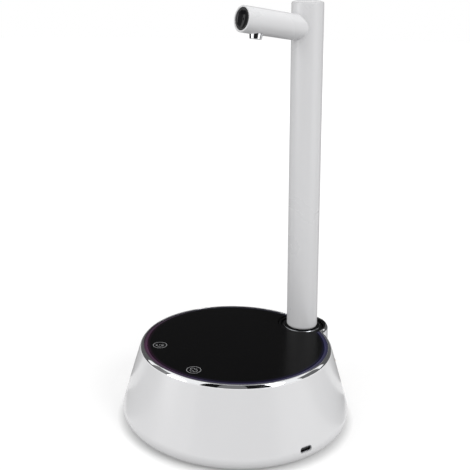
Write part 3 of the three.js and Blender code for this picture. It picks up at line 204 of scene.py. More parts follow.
def ranged(tree, value, low, high, toLow, toHigh):
    return addNode(tree, "MapRange", {"Value": value, "From Min": low, "From Max": high,
                                      "To Min": toLow, "To Max": toHigh}).outputs["Result"]


def combined(tree, operation, a, b):
    return addNode(tree, "Math", {0: a, 1: b}, operation=operation).outputs[0]


def measured(tree, operation, place, other=(1, 1, 1)):
    # the value of a vector operation, such as a length
    return addNode(tree, "VectorMath", {0: place, 1: other}, operation=operation).outputs["Value"]


def mixedColour(tree, factor, a, b, blend="MIX"):
    return addNode(tree, "Mix", {"Factor": factor, "A": a, "B": b},
                   data_type="RGBA", blend_type=blend).outputs["Result"]


def mixedValue(tree, factor, a, b):
    return addNode(tree, "Mix", {"Factor": factor, "A": a, "B": b}).outputs["Result"]


def relief(tree, height, strength, distance):
    return addNode(tree, "Bump", {"Strength": strength, "Distance": distance,
                                  "Height": height}).outputs["Normal"]


def startGroup(name, inputs, outputs):
    # every group reads a place, then floats that have these defaults
    tree = bpy.data.node_groups.new(name, "ShaderNodeTree")
    sockets = [("Vector", "INPUT", "Vector"), *((label, "INPUT", "Float") for label in inputs),
               *((label, "OUTPUT", kind) for label, kind in outputs.items())]
    for label, side, kind in sockets:
        socket = tree.interface.new_socket(name=label, in_out=side, socket_type="NodeSocket" + kind)
        if label in inputs:
            socket.default_value = inputs[label]
    return tree, tree.nodes.new("NodeGroupInput").outputs, tree.nodes.new("NodeGroupOutput")


def makeMouldGrain():
    # fine texture of moulded plastic or rubber, with a slow wave under it
    tree, given, out = startGroup("mouldGrain", {"Grain Size": 900.0, "Wave Share": 0.3},
                                  {"Height": "Float"})
    fine = noise(tree, given["Vector"], given["Grain Size"])
    slow = noise(tree, given["Vector"], 25, 1)
    feed(tree, out, {"Height": mixedValue(tree, given["Wave Share"], fine, slow)})
    return tree


def makeHandling():
    # faint wiped smears that change the gloss
    tree, given, out = startGroup("handling", {"Size": 18.0, "Low": 0.2, "High": 0.3},
                                  {"Roughness": "Float"})
    smear = noise(tree, given["Vector"], given["Size"], 5, 0.62, 0.8)
    spread = ranged(tree, smear, 0.35, 0.7, 0, 1)
    feed(tree, out, {"Roughness": mixedValue(tree, spread, given["Low"], given["High"])})
    return tree


def makeDust():
    # sparse specks of dust that lie on what faces up
    tree, given, out = startGroup("dust", {"Amount": 0.12}, {"Mask": "Float"})
    cells = addNode(tree, "TexVoronoi", {"Vector": given["Vector"], "Scale": 420})
    speck = ranged(tree, cells.outputs["Distance"], 0.0, 0.12, 1, 0)
    facing = addNode(tree, "NewGeometry", {}).outputs["Normal"]
    height = addNode(tree, "SeparateXYZ", {"Vector": facing}).outputs["Z"]
    lying = combined(tree, "MULTIPLY", speck, ranged(tree, height, 0.4, 0.95, 0, 1))
    feed(tree, out, {"Mask": combined(tree, "MULTIPLY", lying, given["Amount"])})
    return tree


glow = {
    "warm": (0.15, 0.04, 0.11),    # violet, at the spout's side
    "middle": (0.06, 0.045, 0.13), "middleAt": 0.32,
    "cool": (0.036, 0.036, 0.15),    # blue, at the column's side
    "across": (0.545, 0.835, 0), "reach": 0.067,    # direction and half width of that change
    "dimSide": (-0.835, 0.545, 0), "dim": (-0.01, 0.055, 1, 0.12),    # where it fades, and how far
    "body": (0.012, 0.011, 0.016), "bodyDark": (0.0096, 0.0088, 0.0128),
    "strength": 0.45,
    "ring": (0.0647, 0.0668, 1.0, 0.6),    # from and to radius, with the share of light there
    "bleed": (0.0622, 0.0646, 0, 0.35),    # the same on the panel, under its edge
}


radialDefaults = {"From": 0.0, "To": 1.0, "From Share": 1.0, "To Share": 1.0}


def makeRingGlow():
    # light from violet to blue across the base, weak at one side and uneven along the ring
    tree, given, out = startGroup("ringGlow", radialDefaults, {"Glow": "Color", "Cloud": "Float"})
    place = given["Vector"]
    across = measured(tree, "DOT_PRODUCT", place, glow["across"])
    hue = ranged(tree, across, -glow["reach"], glow["reach"], 0, 1)
    ramp = addNode(tree, "ValToRGB", {"Fac": hue})
    stops = ramp.color_ramp.elements
    stops[0].color, stops[1].color = (*glow["warm"], 1), (*glow["cool"], 1)
    stops.new(glow["middleAt"]).color = (*glow["middle"], 1)
    cloud = noise(tree, place, 45, 2)
    uneven = ranged(tree, cloud, 0.3, 0.7, 0.75, 1.15)
    flat = addNode(tree, "VectorMath", {0: place, 1: (1, 1, 0)}, operation="MULTIPLY")
    radius = measured(tree, "LENGTH", flat.outputs["Vector"])
    share = ranged(tree, radius, *(given[label] for label in radialDefaults))
    dimmed = ranged(tree, measured(tree, "DOT_PRODUCT", place, glow["dimSide"]), *glow["dim"])
    whole = combined(tree, "MULTIPLY", combined(tree, "MULTIPLY", uneven, share), dimmed)
    feed(tree, out, {"Glow": mixedColour(tree, 1, ramp.outputs["Color"], whole, "MULTIPLY"),
                     "Cloud": cloud})
    return tree


mouldGrain, handling, dust, ringGlow = makeMouldGrain(), makeHandling(), makeDust(), makeRingGlow()


def startFinish(name, metal=0.0, ior=1.5):
    finish = bpy.data.materials.new(name)
    finish.use_nodes = True
    tree = finish.node_tree
    shader = tree.nodes["Principled BSDF"]
    feed(tree, shader, {"Metallic": metal, "IOR": ior})
    return finish, tree, shader, addNode(tree, "TexCoord", {}).outputs["Object"]


def useGroup(tree, group, values):
    return addNode(tree, "Group", values, node_tree=group).outputs


def wiped(tree, place, size, low, high):
    smears = useGroup(tree, handling, {"Vector": place, "Size": size, "Low": low, "High": high})
    return smears["Roughness"]


def plastic(name, colour, dark, low, high, grain=900.0, bump=0.02, wave=0.3, smear=18.0,
            dusty=0.0, coat=0.0, gloss=0.5):
    # moulded plastic or rubber: tone drift, grain, smears and a little dust
    finish, tree, shader, place = startFinish(name)
    tone = mixedColour(tree, noise(tree, place, 9, 2), (*colour, 1), (*dark, 1))
    if dusty:
        specks = useGroup(tree, dust, {"Vector": place, "Amount": dusty})
        tone = mixedColour(tree, specks["Mask"], tone, (0.55, 0.54, 0.52, 1))
    texture = useGroup(tree, mouldGrain, {"Vector": place, "Grain Size": grain, "Wave Share": wave})
    feed(tree, shader, {"Base Color": tone, "Roughness": wiped(tree, place, smear, low, high),
                        "Normal": relief(tree, texture["Height"], bump, 0.001),
                        "Coat Weight": coat, "Specular IOR Level": gloss})
    return finish


def metal(name, colour, dark, low, high, brush=(1, 1, 1), scale=300.0, bump=0.01):
    # plated, turned or rolled metal, with its lines along the stretched axis
    finish, tree, shader, place = startFinish(name, 1.0)
    stretched = addNode(tree, "Mapping", {"Vector": place, "Scale": brush}).outputs["Vector"]
    lines = noise(tree, stretched, scale, 4)
    feed(tree, shader, {"Base Color": mixedColour(tree, lines, (*colour, 1), (*dark, 1)),
                        "Roughness": wiped(tree, place, 40, low, high),
                        "Normal": relief(tree, lines, bump, 0.0005)})
    return finish


def circuitBoard(name):
    # solder mask over a weave of tracks and pads
    finish, tree, shader, place = startFinish(name)
    tracks = addNode(tree, "TexBrick", {
        "Vector": place, "Scale": 160, "Mortar Size": 0.035, "Color1": (0.012, 0.10, 0.045, 1),
        "Color2": (0.016, 0.13, 0.055, 1), "Mortar": (0.04, 0.26, 0.11, 1)}).outputs
    pads = addNode(tree, "TexVoronoi", {"Vector": place, "Scale": 330, "Randomness": 0.5})
    dot = ranged(tree, pads.outputs["Distance"], 0.16, 0.2, 1, 0)
    feed(tree, shader, {"Base Color": mixedColour(tree, dot, tracks["Color"], (0.62, 0.6, 0.55, 1)),
                        "Metallic": dot, "Roughness": wiped(tree, place, 60, 0.28, 0.42),
                        "Normal": relief(tree, tracks["Fac"], 0.15, 0.0003)})
    return finish


def lightFrom(tree, shader, place, radial):
    lit = useGroup(tree, ringGlow, {"Vector": place, **dict(zip(radialDefaults, radial))})
    feed(tree, shader, {"Emission Color": lit["Glow"], "Emission Strength": glow["strength"]})
    return lit["Cloud"]


def lightGuide():
    # milky ring, brightest at its inner edge
    finish, tree, shader, place = startFinish("lightGuide", 0, 1.49)
    cloud = lightFrom(tree, shader, place, glow["ring"])
    body = mixedColour(tree, cloud, (*glow["body"], 1), (*glow["bodyDark"], 1))
    feed(tree, shader, {"Base Color": body, "Roughness": wiped(tree, place, 30, 0.3, 0.4),
                        "Specular IOR Level": 0.25})
    return finish


def litPanel(finish):
    # the guide's light bleeds a little way under the panel's edge
    tree = finish.node_tree
    place = addNode(tree, "TexCoord", {}).outputs["Object"]
    lightFrom(tree, tree.nodes["Principled BSDF"], place, glow["bleed"])
    return finish


# name, colour, darker colour, roughness from and to
finishes = {finish.name: finish for finish in (
    plastic("whiteShell", (0.71, 0.71, 0.72), (0.69, 0.69, 0.70), 0.2, 0.27,
            grain=700, bump=0.006, wave=0.6, smear=14, dusty=0.03, coat=0.12),
    plastic("whiteColumn", (0.70, 0.70, 0.71), (0.68, 0.68, 0.69), 0.26, 0.34,
            grain=800, bump=0.01, wave=0.5, smear=16, dusty=0.02),
    plastic("capGrey", (0.69, 0.69, 0.70), (0.66, 0.66, 0.67), 0.28, 0.36, bump=0.015),
    plastic("whiteMoulded", (0.66, 0.66, 0.65), (0.62, 0.62, 0.61), 0.42, 0.55,
            grain=1200, bump=0.06),
    plastic("blackPanel", (0.0036, 0.0036, 0.0038), (0.0030, 0.0030, 0.0032), 0.2, 0.3,
            grain=500, bump=0.003, wave=0.8, smear=10, dusty=0.01, gloss=0.03),
    plastic("blackGloss", (0.007, 0.007, 0.008), (0.005, 0.005, 0.006), 0.06, 0.12,
            bump=0.003, dusty=0.01, gloss=0.3),
    plastic("seatBlack", (0.0042, 0.0042, 0.0046), (0.0032, 0.0032, 0.0036), 0.14, 0.22,
            bump=0.01, dusty=0.01, gloss=0.06),
    plastic("blackMoulded", (0.016, 0.016, 0.017), (0.011, 0.011, 0.012), 0.38, 0.5,
            grain=1400, bump=0.1, dusty=0.03),
    plastic("padRubber", (0.022, 0.022, 0.023), (0.014, 0.014, 0.015), 0.7, 0.85,
            grain=1600, bump=0.25, wave=0.15, dusty=0.05),
    plastic("clearSilicone", (0.62, 0.64, 0.64), (0.54, 0.57, 0.57), 0.3, 0.42,
            grain=600, bump=0.03),
    plastic("iconInk", (0.36, 0.36, 0.37), (0.3, 0.3, 0.31), 0.4, 0.5, bump=0.02),
    plastic("cellSleeve", (0.02, 0.11, 0.36), (0.015, 0.09, 0.3), 0.22, 0.32, bump=0.03, wave=0.7),
    metal("chromePlate", (0.86, 0.87, 0.88), (0.83, 0.84, 0.86), 0.03, 0.07, scale=60, bump=0.002),
    metal("drawnSteel", (0.55, 0.56, 0.58), (0.44, 0.45, 0.47), 0.25, 0.38,
          brush=(1, 0.08, 1), bump=0.08),
    metal("socketSteel", (0.42, 0.43, 0.45), (0.33, 0.34, 0.36), 0.22, 0.34,
          brush=(0.1, 1, 1), bump=0.04),
    metal("turnedBrass", (0.72, 0.53, 0.26), (0.62, 0.44, 0.2), 0.2, 0.34,
          brush=(1, 0.1, 1), scale=500, bump=0.06),
    circuitBoard("circuitBoard"),
    lightGuide(),
)}
litPanel(finishes["blackPanel"])
print("finishes made:", len(finishes))


# base housing: the cone, its round foot and the lobe behind

housing = {
    "top": (69.9, 50.2), "lip": 0.5, "lipRise": 0.05, "lipEnd": 16,
    "roundAt": (74.15, 8.4), "round": 7.6, "bottom": 0.8,
    "wall": 2.4,
    "shelf": (44.7, 46.7), "shelfHole": 59.0, "recess": 68.4,
    "lobe": 19.95, "lobeWall": 2.2, "lobeFoot": 14.5, "lobeLow": 12.0, "lobeStraight": 36.0,
    "lobeRise": 0.3, "lobeShelf": (40.6, 44.6), "lobeShelfEnd": 18.95,
    "barrelHole": 13.8, "barrelLow": 20,
    "inletHeight": 15.0, "inletSeat": 7.5, "inletSunk": 1.6, "inletHole": 5.3, "inletInside": 66,
    "socket": (8.94, 3.26, 9.9), "socketGap": 0.3, "socketCut": (70, 85),
    "above": 60, "outside": 90, "past": 1,    # how far the cutting tools reach
}
atColumn = Matrix.Translation(mm(0, columnY, 0))
atInlet = (Matrix.Translation(mm(0, 0, housing["inletHeight"]))
           @ Matrix.Rotation(-math.pi / 2, 4, "X"))    # its +Z runs out at the back


def coneTangent():
    # where the straight cone meets the round foot, in degrees
    dx = housing["top"][0] - housing["roundAt"][0]
    dz = housing["top"][1] - housing["roundAt"][1]
    return math.degrees(math.atan2(dz, dx) - math.acos(housing["round"] / math.hypot(dx, dz)))


def coneRadius(z, inset=0.0):
    tangent = math.radians(coneTangent())
    low = (housing["roundAt"][0] + housing["round"] * math.cos(tangent),
           housing["roundAt"][1] + housing["round"] * math.sin(tangent))
    share = (z - low[1]) / (housing["top"][1] - low[1])
    return low[0] + (housing["top"][0] - low[0]) * share - inset / math.cos(tangent)


def lobeSolid(inset, top):
    h = housing
    foot = (h["lobeFoot"] - inset, h["lobeLow"])
    straight = (h["lobe"] - inset, h["lobeStraight"])
    return turned([(0, foot[1]), foot, *rows(foot, straight, 8),
                   *rows(straight, (straight[0], top), 5), (0, top)], closed=False, at=atColumn)


def stadium(width, height, x, z, grow=0.0):
    # rounded slot that runs along X
    tall = height + 2 * grow
    bm = brick(x, (-width / 2 - grow, width / 2 + grow), (z - tall / 2, z + tall / 2))
    return bevelled(bm, tall / 2 * 0.999, 10, lambda edge: edge.verts[0].co.x != edge.verts[1].co.x)


def makeHousing():
    h = housing
    tangent = coneTangent()
    foot = arc(*h["roundAt"], h["round"], tangent, -90, 20)
    inside = arc(*h["roundAt"], h["round"] - h["wall"], -90, tangent, 12)
    shelfLow, shelfTop = h["shelf"]
    lobeLow, lobeTop = h["lobeShelf"]
    hole, end = h["barrelHole"], h["lobeShelfEnd"]
    past = h["past"]
    lip = arc(h["top"][0] - h["lip"], h["top"][1] + h["lipRise"], h["lip"], 90, h["lipEnd"], 5)
    outside = turned([(0, lip[0][1]), *lip, *rows(lip[-1], foot[0], 22), *foot[1:],
                      (0, h["bottom"])], 192, False)
    room = turned([(0, -past), (h["roundAt"][0], -past), *inside,
                   (coneRadius(shelfLow, h["wall"]), shelfLow), (0, shelfLow)], 192, False)
    shell = cut(outside, ("UNION", lobeSolid(0, h["top"][1] + h["lobeRise"])),
                ("DIFFERENCE", room),
                ("DIFFERENCE", drum(h["shelfHole"], shelfLow - past, shelfTop + past, 192)),
                ("DIFFERENCE", drum(h["recess"], shelfTop, h["above"], 192)),
                ("DIFFERENCE", lobeSolid(h["lobeWall"], lobeLow)),
                ("DIFFERENCE", drum(h["lobe"] - h["lobeWall"], lobeTop, h["above"], at=atColumn)))
    shelf = turned([(hole, lobeLow), (end, lobeLow), (end, lobeTop), (hole, lobeTop)], at=atColumn)
    seatFloor = coneRadius(h["inletHeight"]) - h["inletSunk"]
    width, height, z = h["socket"]
    return cut(shell, ("UNION", shelf),
               ("DIFFERENCE", drum(hole, h["barrelLow"], h["above"], at=atColumn)),
               ("DIFFERENCE", drum(h["inletSeat"], seatFloor, h["outside"], 64, atInlet)),
               ("DIFFERENCE", drum(h["inletHole"], h["inletInside"], h["outside"], 48, atInlet)),
               ("DIFFERENCE", stadium(width, height, h["socketCut"], z, h["socketGap"])))


piece(makeHousing(), "housingShell", "whiteShell", "base", "white_gloss", "base_housing", sharp=25)
print("housing made")


# chrome rim, light guide, panel and the touch keys' marks

rim = {
    "outer": 69.4, "inner": 67.1, "lobeOuter": 19.85, "lobeInner": 18.2, "low": 50.8, "top": 52.7,
    "wallShare": 0.92, "corner": 0.15, "crown": 0.75, "innerEdge": 0.15,
    "slopes": ((64, 45, 12), (45, 10, 5), (10, 6, 5)),    # of those three: degrees, then steps
    "skirt": (67.25, 68.1, 46.7), "skirtLap": 0.3, "skirtGap": 22.4,
}
lightRing = {"inner": 64.7, "outer": 66.8, "low": 49.7, "top": 52.5, "edge": 0.3, "lobeGap": 18.65}
panel = {"radius": 64.4, "low": 50.5, "top": 52.7, "edge": 0.25, "lobeGap": 18.35}


def rimDisc(radius, inner, steps=192, at=upright):
    # wall that leans in more and more, soft corner, then a top that falls away outwards
    low, top = rim["low"], rim["top"]
    path = [(radius, low)]
    runs = ((radius - inner) * rim["wallShare"], rim["corner"], rim["crown"])
    for run, (start, end, count) in zip(runs, rim["slopes"]):
        for i in range(count):
            slope = math.radians(start + (end - start) * (i + 0.5) / count)
            path.append((path[-1][0] - run / count * math.cos(slope),
                         path[-1][1] + run / count * math.sin(slope)))
    stretch = (top - low) / (path[-1][1] - low)
    path = [(r, low + (z - low) * stretch) for r, z in path]
    return turned([(0, low), *path, (inner - 1, top), (0, top)], steps, False, at)


def rimCutter(radius, steps=192, at=upright):
    edge, low, high = rim["innerEdge"], rim["low"] - 1, rim["top"] + 1
    return turned([(0, low), (radius, low),
                   *arc(radius + edge, rim["top"] - edge, edge, 180, 90, 5),
                   (radius + edge, high), (0, high)], steps, False, at)


def besideLobe(bm, radius):
    # leaves room for the lobe
    return cut(bm, ("DIFFERENCE", drum(radius, 40, 60, at=atColumn)))


def makeRim():
    r = rim
    inner, outer, low = r["skirt"]
    high = r["low"] + r["skirtLap"]
    skirt = besideLobe(turned([(inner, low), (outer, low), (outer, high), (inner, high)], 192),
                       r["skirtGap"])
    band = cut(rimDisc(r["outer"], r["inner"]),
               ("UNION", rimDisc(r["lobeOuter"], r["lobeInner"], 96, atColumn)),
               ("DIFFERENCE", rimCutter(r["inner"])),
               ("DIFFERENCE", rimCutter(r["lobeInner"], 96, atColumn)))
    return merged(band, skirt)


def makeLightRing():
    g = lightRing
    edge = g["edge"]
    ring = turned([(g["inner"], g["low"]), (g["outer"], g["low"]),
                   *arc(g["outer"] - edge, g["top"] - edge, edge, 0, 90, 3),
                   *arc(g["inner"] + edge, g["top"] - edge, edge, 90, 180, 3)], 192)
    return besideLobe(ring, g["lobeGap"])


def makePanel():
    p = panel
    edge = p["edge"]
    sheet = turned([(0, p["low"]), (p["radius"], p["low"]),
                    *arc(p["radius"] - edge, p["top"] - edge, edge, 0, 90, 4),
                    (0, p["top"])], 192, False)
    return besideLobe(sheet, p["lobeGap"])


piece(makeRim(), "rimBand", "chromePlate", "base", "chrome", "chrome_rim", sharp=40)
piece(makeLightRing(), "lightGuideRing", "lightGuide", "base", "diffuser", "light_ring")
piece(makePanel(), "panelSheet", "blackPanel", "base", "black_gloss", "top_panel")

keyMarks = {
    "radius": 55.6, "ring": 4.85, "line": 0.3, "thick": 0.03,
    # angle from the front, curls (radius, start, sweep, x, y) and bars (length, x, y, turn)
    "keyMarkLeft": (-24.6, ((2.3, 200, 250, 0, 0), (1.0, 20, 230, 0.4, 0.2)),
                    ((1.5, 2.6, 1.1, 60), (2.0, -1.0, -2.6, 0))),
    "keyMarkRight": (24.6, ((1.5, 30, 290, -1.5, 0.1), (1.5, 210, 290, 1.5, 0.1)),
                     ((2.2, 0, -2.6, 0), (1.3, 0, 2.4, 0))),
}
inkLevels = (panel["top"], panel["top"] + keyMarks["thick"])


def placed(x, y, turn):
    return Matrix.Translation(mm(x, y, 0)) @ Matrix.Rotation(math.radians(turn), 4, "Z")


def inkRing(radius, start=0, sweep=360, x=0, y=0):
    # flat printed arc
    low, high = inkLevels
    near, far = radius - keyMarks["line"] / 2, radius + keyMarks["line"] / 2
    profile = [(near, low), (far, low), (far, high), (near, high)]
    if sweep == 360:
        return turned(profile, 72, at=placed(x, y, start))
    bm = bmesh.new()
    face = bm.faces.new([bm.verts.new(mm(r, 0, z)) for r, z in profile])
    bmesh.ops.spin(bm, geom=[face, *face.verts, *face.edges], cent=(0, 0, 0), axis=(0, 0, 1),
                   dvec=(0, 0, 0), angle=math.radians(sweep), steps=24, use_merge=False,
                   use_duplicate=False)
    bmesh.ops.remove_doubles(bm, verts=bm.verts, dist=1e-7)
    bmesh.ops.recalc_face_normals(bm, faces=bm.faces)
    return moved(bm, placed(x, y, start))


def inkBar(length, x, y, turn):
    line = keyMarks["line"]
    return brick((-length / 2, length / 2), (-line / 2, line / 2), inkLevels, placed(x, y, turn))


def makeKeyMark(name):
    angle, curls, bars = keyMarks[name]
    mark = merged(inkRing(keyMarks["ring"]), *(inkRing(*curl) for curl in curls),
                  *(inkBar(*bar) for bar in bars))
    angle = math.radians(angle - 90)
    radius = keyMarks["radius"]
    return moved(mark, placed(radius * math.cos(angle), radius * math.sin(angle), 0))


for name in ("keyMarkLeft", "keyMarkRight"):
    piece(makeKeyMark(name), name, "iconInk", "base", "white_inner")
print("rim and panel made")


# column seat, swivel collar and the plated ring let into it

seat = {"cup": 17.2, "wall": 1.0, "flange": 17.9, "flangeLow": 50.5, "top": 52.3, "lip": 0.45,
        "floor": (44.6, 47.1), "barrel": 13.5, "bore": 11.3, "barrelLow": 30.9, "chamber": 12.4,
        "chamberTop": 36.5}
collar = {"disc": 15.8, "discLow": 47.9, "top": 51.5, "edge": 0.7, "journal": 10.9, "bore": 8.6,
          "low": 32.2, "groove": (34.7, 36.5), "grooveDeep": 0.7}
bead = {"inner": 13.6, "outer": 13.9, "slope": 0.1, "stand": 0.28, "sunk": 0.2}


def makeSeat():
    s = seat
    inner, lip = s["cup"] - s["wall"], s["lip"]
    return turned([
        (s["barrel"], s["barrelLow"]), (s["barrel"], s["floor"][0]), (s["cup"], s["floor"][0]),
        (s["cup"], s["flangeLow"]), (s["flange"], s["flangeLow"]),
        *arc(s["flange"] - lip, s["top"] - lip, lip, 0, 90, 5),
        *arc(inner + lip, s["top"] - lip, lip, 90, 180, 5),
        (inner, s["floor"][1]), (s["bore"], s["floor"][1]), (s["bore"], s["chamberTop"]),
        (s["chamber"], s["chamberTop"]), (s["chamber"], s["barrelLow"])], at=atColumn)


def makeCollar():
    c = collar
    low, high = c["groove"]
    narrow = c["journal"] - c["grooveDeep"]
    return turned([
        (c["bore"], c["low"]), (c["journal"], c["low"]), (c["journal"], low), (narrow, low),
        (narrow, high), (c["journal"], high), (c["journal"], c["discLow"]),
        (c["disc"], c["discLow"]),
        *arc(c["disc"] - c["edge"], c["top"] - c["edge"], c["edge"], 0, 90, 5),
        (c["bore"], c["top"])], at=atColumn)


def makeBead():
    # round the column's foot, with a steep outer face
    b = bead
    low, level, high = collar["top"] - b["sunk"], collar["top"], collar["top"] + b["stand"]
    return turned([(b["inner"], low), (b["outer"], low), (b["outer"], level),
                   (b["inner"] + b["slope"], high), (b["inner"], high)], at=atColumn)


piece(makeSeat(), "seatCup", "seatBlack", "base", "black_matte", "column_seat")
piece(makeCollar(), "collarRing", "seatBlack", "column_swivel", "black_matte", "swivel_collar")
piece(makeBead(), "collarBead", "socketSteel", "column_swivel", "steel")
print("seat and collar made")


# column, cap, spout, its end disc and the nozzle

column = {
    "radius": 12.3, "draft": 0.72, "wall": 1.5, "foot": 51.5, "footRound": 2.2, "footFloor": 55.0,
    "footBore": 8.5, "top": 300.8, "topEdge": 0.55,
    "cap": 12.1, "capFoot": 301.0, "capTop": 302.9, "capGap": 0.3, "capRoof": 0.5,
    "capPlug": 6, "capWall": 1.5,
}
spout = {"height": 280.7, "tilt": 7.66, "radius": 9.9, "bore": 8.45, "reach": 61.3, "edge": 0.6,
         "mouthEdge": 0.25, "root": 6.0, "fillet": 0.35, "filletRun": 1.1, "filletWidest": 0.985}
tilted = (Matrix.Translation(mm(0, columnY, spout["height"]))
          @ Matrix.Rotation(-math.radians(spout["tilt"]), 4, "X"))
atSpout = tilted @ Matrix.Rotation(math.pi / 2, 4, "X")    # its +Z runs out along the spout


def makeColumnTube():
    c = column
    bore = c["radius"] - c["wall"]
    soft, edge = c["footRound"], c["topEdge"]
    foot = arc(c["radius"] - c["draft"] - soft, c["foot"] + soft, soft, -90, 0, 10)
    return turned([
        (c["footBore"], c["foot"]), *foot,
        *rows(foot[-1], (c["radius"], c["top"] - edge), 30),
        *arc(c["radius"] - edge, c["top"] - edge, edge, 15, 90, 5),
        (bore, c["top"]), (bore, c["footFloor"]), (c["footBore"], c["footFloor"])], at=atColumn)


def makeSpoutTube():
    s = spout
    reach, edge, mouth = s["reach"], s["edge"], s["mouthEdge"]
    return turned([
        (s["bore"], s["root"]), (s["radius"], s["root"]),
        *rows((s["radius"], s["root"]), (s["radius"], reach - edge), 14),
        *arc(s["radius"] - edge, reach - edge, edge, 0, 90, 6)[1:],
        *arc(s["bore"] + mouth, reach - mouth, mouth, 90, 180, 3)], at=atSpout)


def makeSaddleFillet(steps=96, strips=6):
    # soft concave run of plastic between spout and column
    s, radius = spout, column["radius"]
    tilt = math.radians(s["tilt"])
    out = Vector((0, -math.cos(tilt), math.sin(tilt)))
    side, up = Vector((1, 0, 0)), Vector((0, math.sin(tilt), math.cos(tilt)))
    centre = Vector((0, columnY, s["height"]))

    def onColumn(start):
        # slides out along the spout until the point meets the column's skin
        a, b = out.y ** 2, start.y - columnY
        half, rest = b * out.y, start.x ** 2 + b * b - radius ** 2
        return start + out * ((-half + math.sqrt(half * half - a * rest)) / a)

    bm = bmesh.new()
    start = bm.verts.new((0, 0, 0))
    bmesh.ops.spin(bm, geom=[start], cent=(0, 0, 1), axis=(1, 0, 0), dvec=(0, 0, 0),
                   angle=2 * math.pi, steps=steps, use_merge=True)
    loops = [list(bm.edges)]
    for i in range(strips + 1):
        strip = bmesh.ops.extrude_edge_only(bm, edges=loops[-1])
        fresh = [v for v in strip["geom"] if isinstance(v, bmesh.types.BMVert)]
        bmesh.ops.translate(bm, vec=(1 / strips, 0, 0), verts=fresh)
        loops.append([e for e in strip["geom"] if isinstance(e, bmesh.types.BMEdge)
                      and e.verts[0] in fresh and e.verts[1] in fresh])
    bmesh.ops.bridge_loops(bm, edges=loops[0] + loops[-1])
    for vert in bm.verts:
        share = vert.co.x    # 0 on the column, 1 on the spout
        turn = math.atan2(vert.co.y, 1 - vert.co.z)
        ray = side * math.cos(turn) + up * math.sin(turn)
        crease = onColumn(centre + ray * s["radius"])
        widest = s["filletWidest"] * radius / max(abs(ray.x), 0.2)
        wide = onColumn(centre + ray * min(s["radius"] + s["fillet"], widest))
        along = crease + out * s["fillet"] * s["filletRun"]
        point = wide * (1 - share) ** 2 + crease * 2 * share * (1 - share) + along * share ** 2
        if share > 1.01:    # the last row closes the strip, unseen
            point = crease - ray - out
        vert.co = point / 1000
    bmesh.ops.recalc_face_normals(bm, faces=bm.faces)
    return bm


def makeCap():
    # a low dome on a plug
    c = column
    bore = c["radius"] - c["wall"] - c["capGap"]
    plug, roof = c["top"] - c["capPlug"], c["top"] - c["capRoof"]
    high = c["capTop"] - c["capFoot"]
    dome = [(c["cap"] * math.cos(angle), c["capFoot"] + high * math.sin(angle))
            for angle in map(math.radians, range(80, -1, -8))]
    return turned([
        *dome, (c["cap"], c["top"]), (bore, c["top"]), (bore, plug), (bore - c["capWall"], plug),
        (bore - c["capWall"], roof), (0, roof), (0, c["capTop"])], at=atColumn)


piece(merged(makeColumnTube(), makeSpoutTube(), makeSaddleFillet()), "columnAndSpout",
      "whiteColumn", "column", "white_gloss", "column_tube", "spout_tube", sharp=30)
piece(makeCap(), "columnTopCap", "capGrey", "column", "white_gloss", "column_cap")

endDisc = {"rim": 8.42, "face": 60.75, "edge": 0.45, "edgeLow": 0.5, "border": 0.9,
           "line": 6.7, "lineHalf": 0.14, "lineDeep": 0.12, "step": 0.02,
           "dish": 0.85, "button": 0.9, "buttonFlat": 0.6, "buttonHigh": (0.12, 0.16),
           "plug": 5.0, "plugFloor": 3.4, "plugWall": 1.5}
nozzle = {"place": 47.0, "tip": -13.1, "shoulder": -8.85, "top": 5.0, "end": 4.4, "edge": 0.25,
          "mouth": 3.7, "mouthDeep": 1.8, "bore": 2.9, "thread": 3.8, "threadLong": 5.5}
atNozzle = tilted @ Matrix.Translation(mm(0, -nozzle["place"], 0))


def makeEndDisc():
    # flat border with a soft edge, a fine groove, then a shallow dish with a small button
    d = endDisc
    face, edge, line, outer = d["face"], d["edge"], d["line"], d["rim"]
    start, floor = face - d["step"], face - d["dish"]
    plug, plugFloor, plugWall = face - d["plug"], face - d["plugFloor"], outer - d["plugWall"]
    inside = line - d["lineHalf"]
    dish = [(r, start - d["dish"] * (1 - (r / line) ** 2))
            for r, _ in rows((inside, 0), (d["button"], 0), 14)]
    return turned([
        (0, plugFloor), (plugWall, plugFloor), (plugWall, plug), (outer, plug),
        (outer, face - d["edgeLow"]), *arc(outer - edge, face - edge, edge, 10, 90, 6),
        (outer - d["border"], face), (line + d["lineHalf"], face), (line, face - d["lineDeep"]),
        (inside, start), *dish, (d["button"] * d["buttonFlat"], floor + d["buttonHigh"][0]),
        (0, floor + d["buttonHigh"][1])], closed=False, at=atSpout)


def makeNozzle():
    n = nozzle
    tip, edge, shoulder = n["tip"], n["edge"], n["shoulder"]
    inside, threadTop = tip + n["mouthDeep"], shoulder + n["threadLong"]
    return turned([
        (n["mouth"], tip), *arc(n["end"] - edge, tip + edge, edge, -90, 0, 4), (n["top"], shoulder),
        (n["thread"], shoulder), (n["thread"], threadTop), (n["bore"], threadTop),
        (n["bore"], inside), (n["mouth"], inside)], 72, at=atNozzle)


piece(makeEndDisc(), "spoutDisc", "blackGloss", "column", "black_gloss", "spout_end_disc")
piece(makeNozzle(), "nozzleTip", "chromePlate", "column", "chrome", "nozzle")
print("column, spout and nozzle made")


# underside: pad, cover and screws

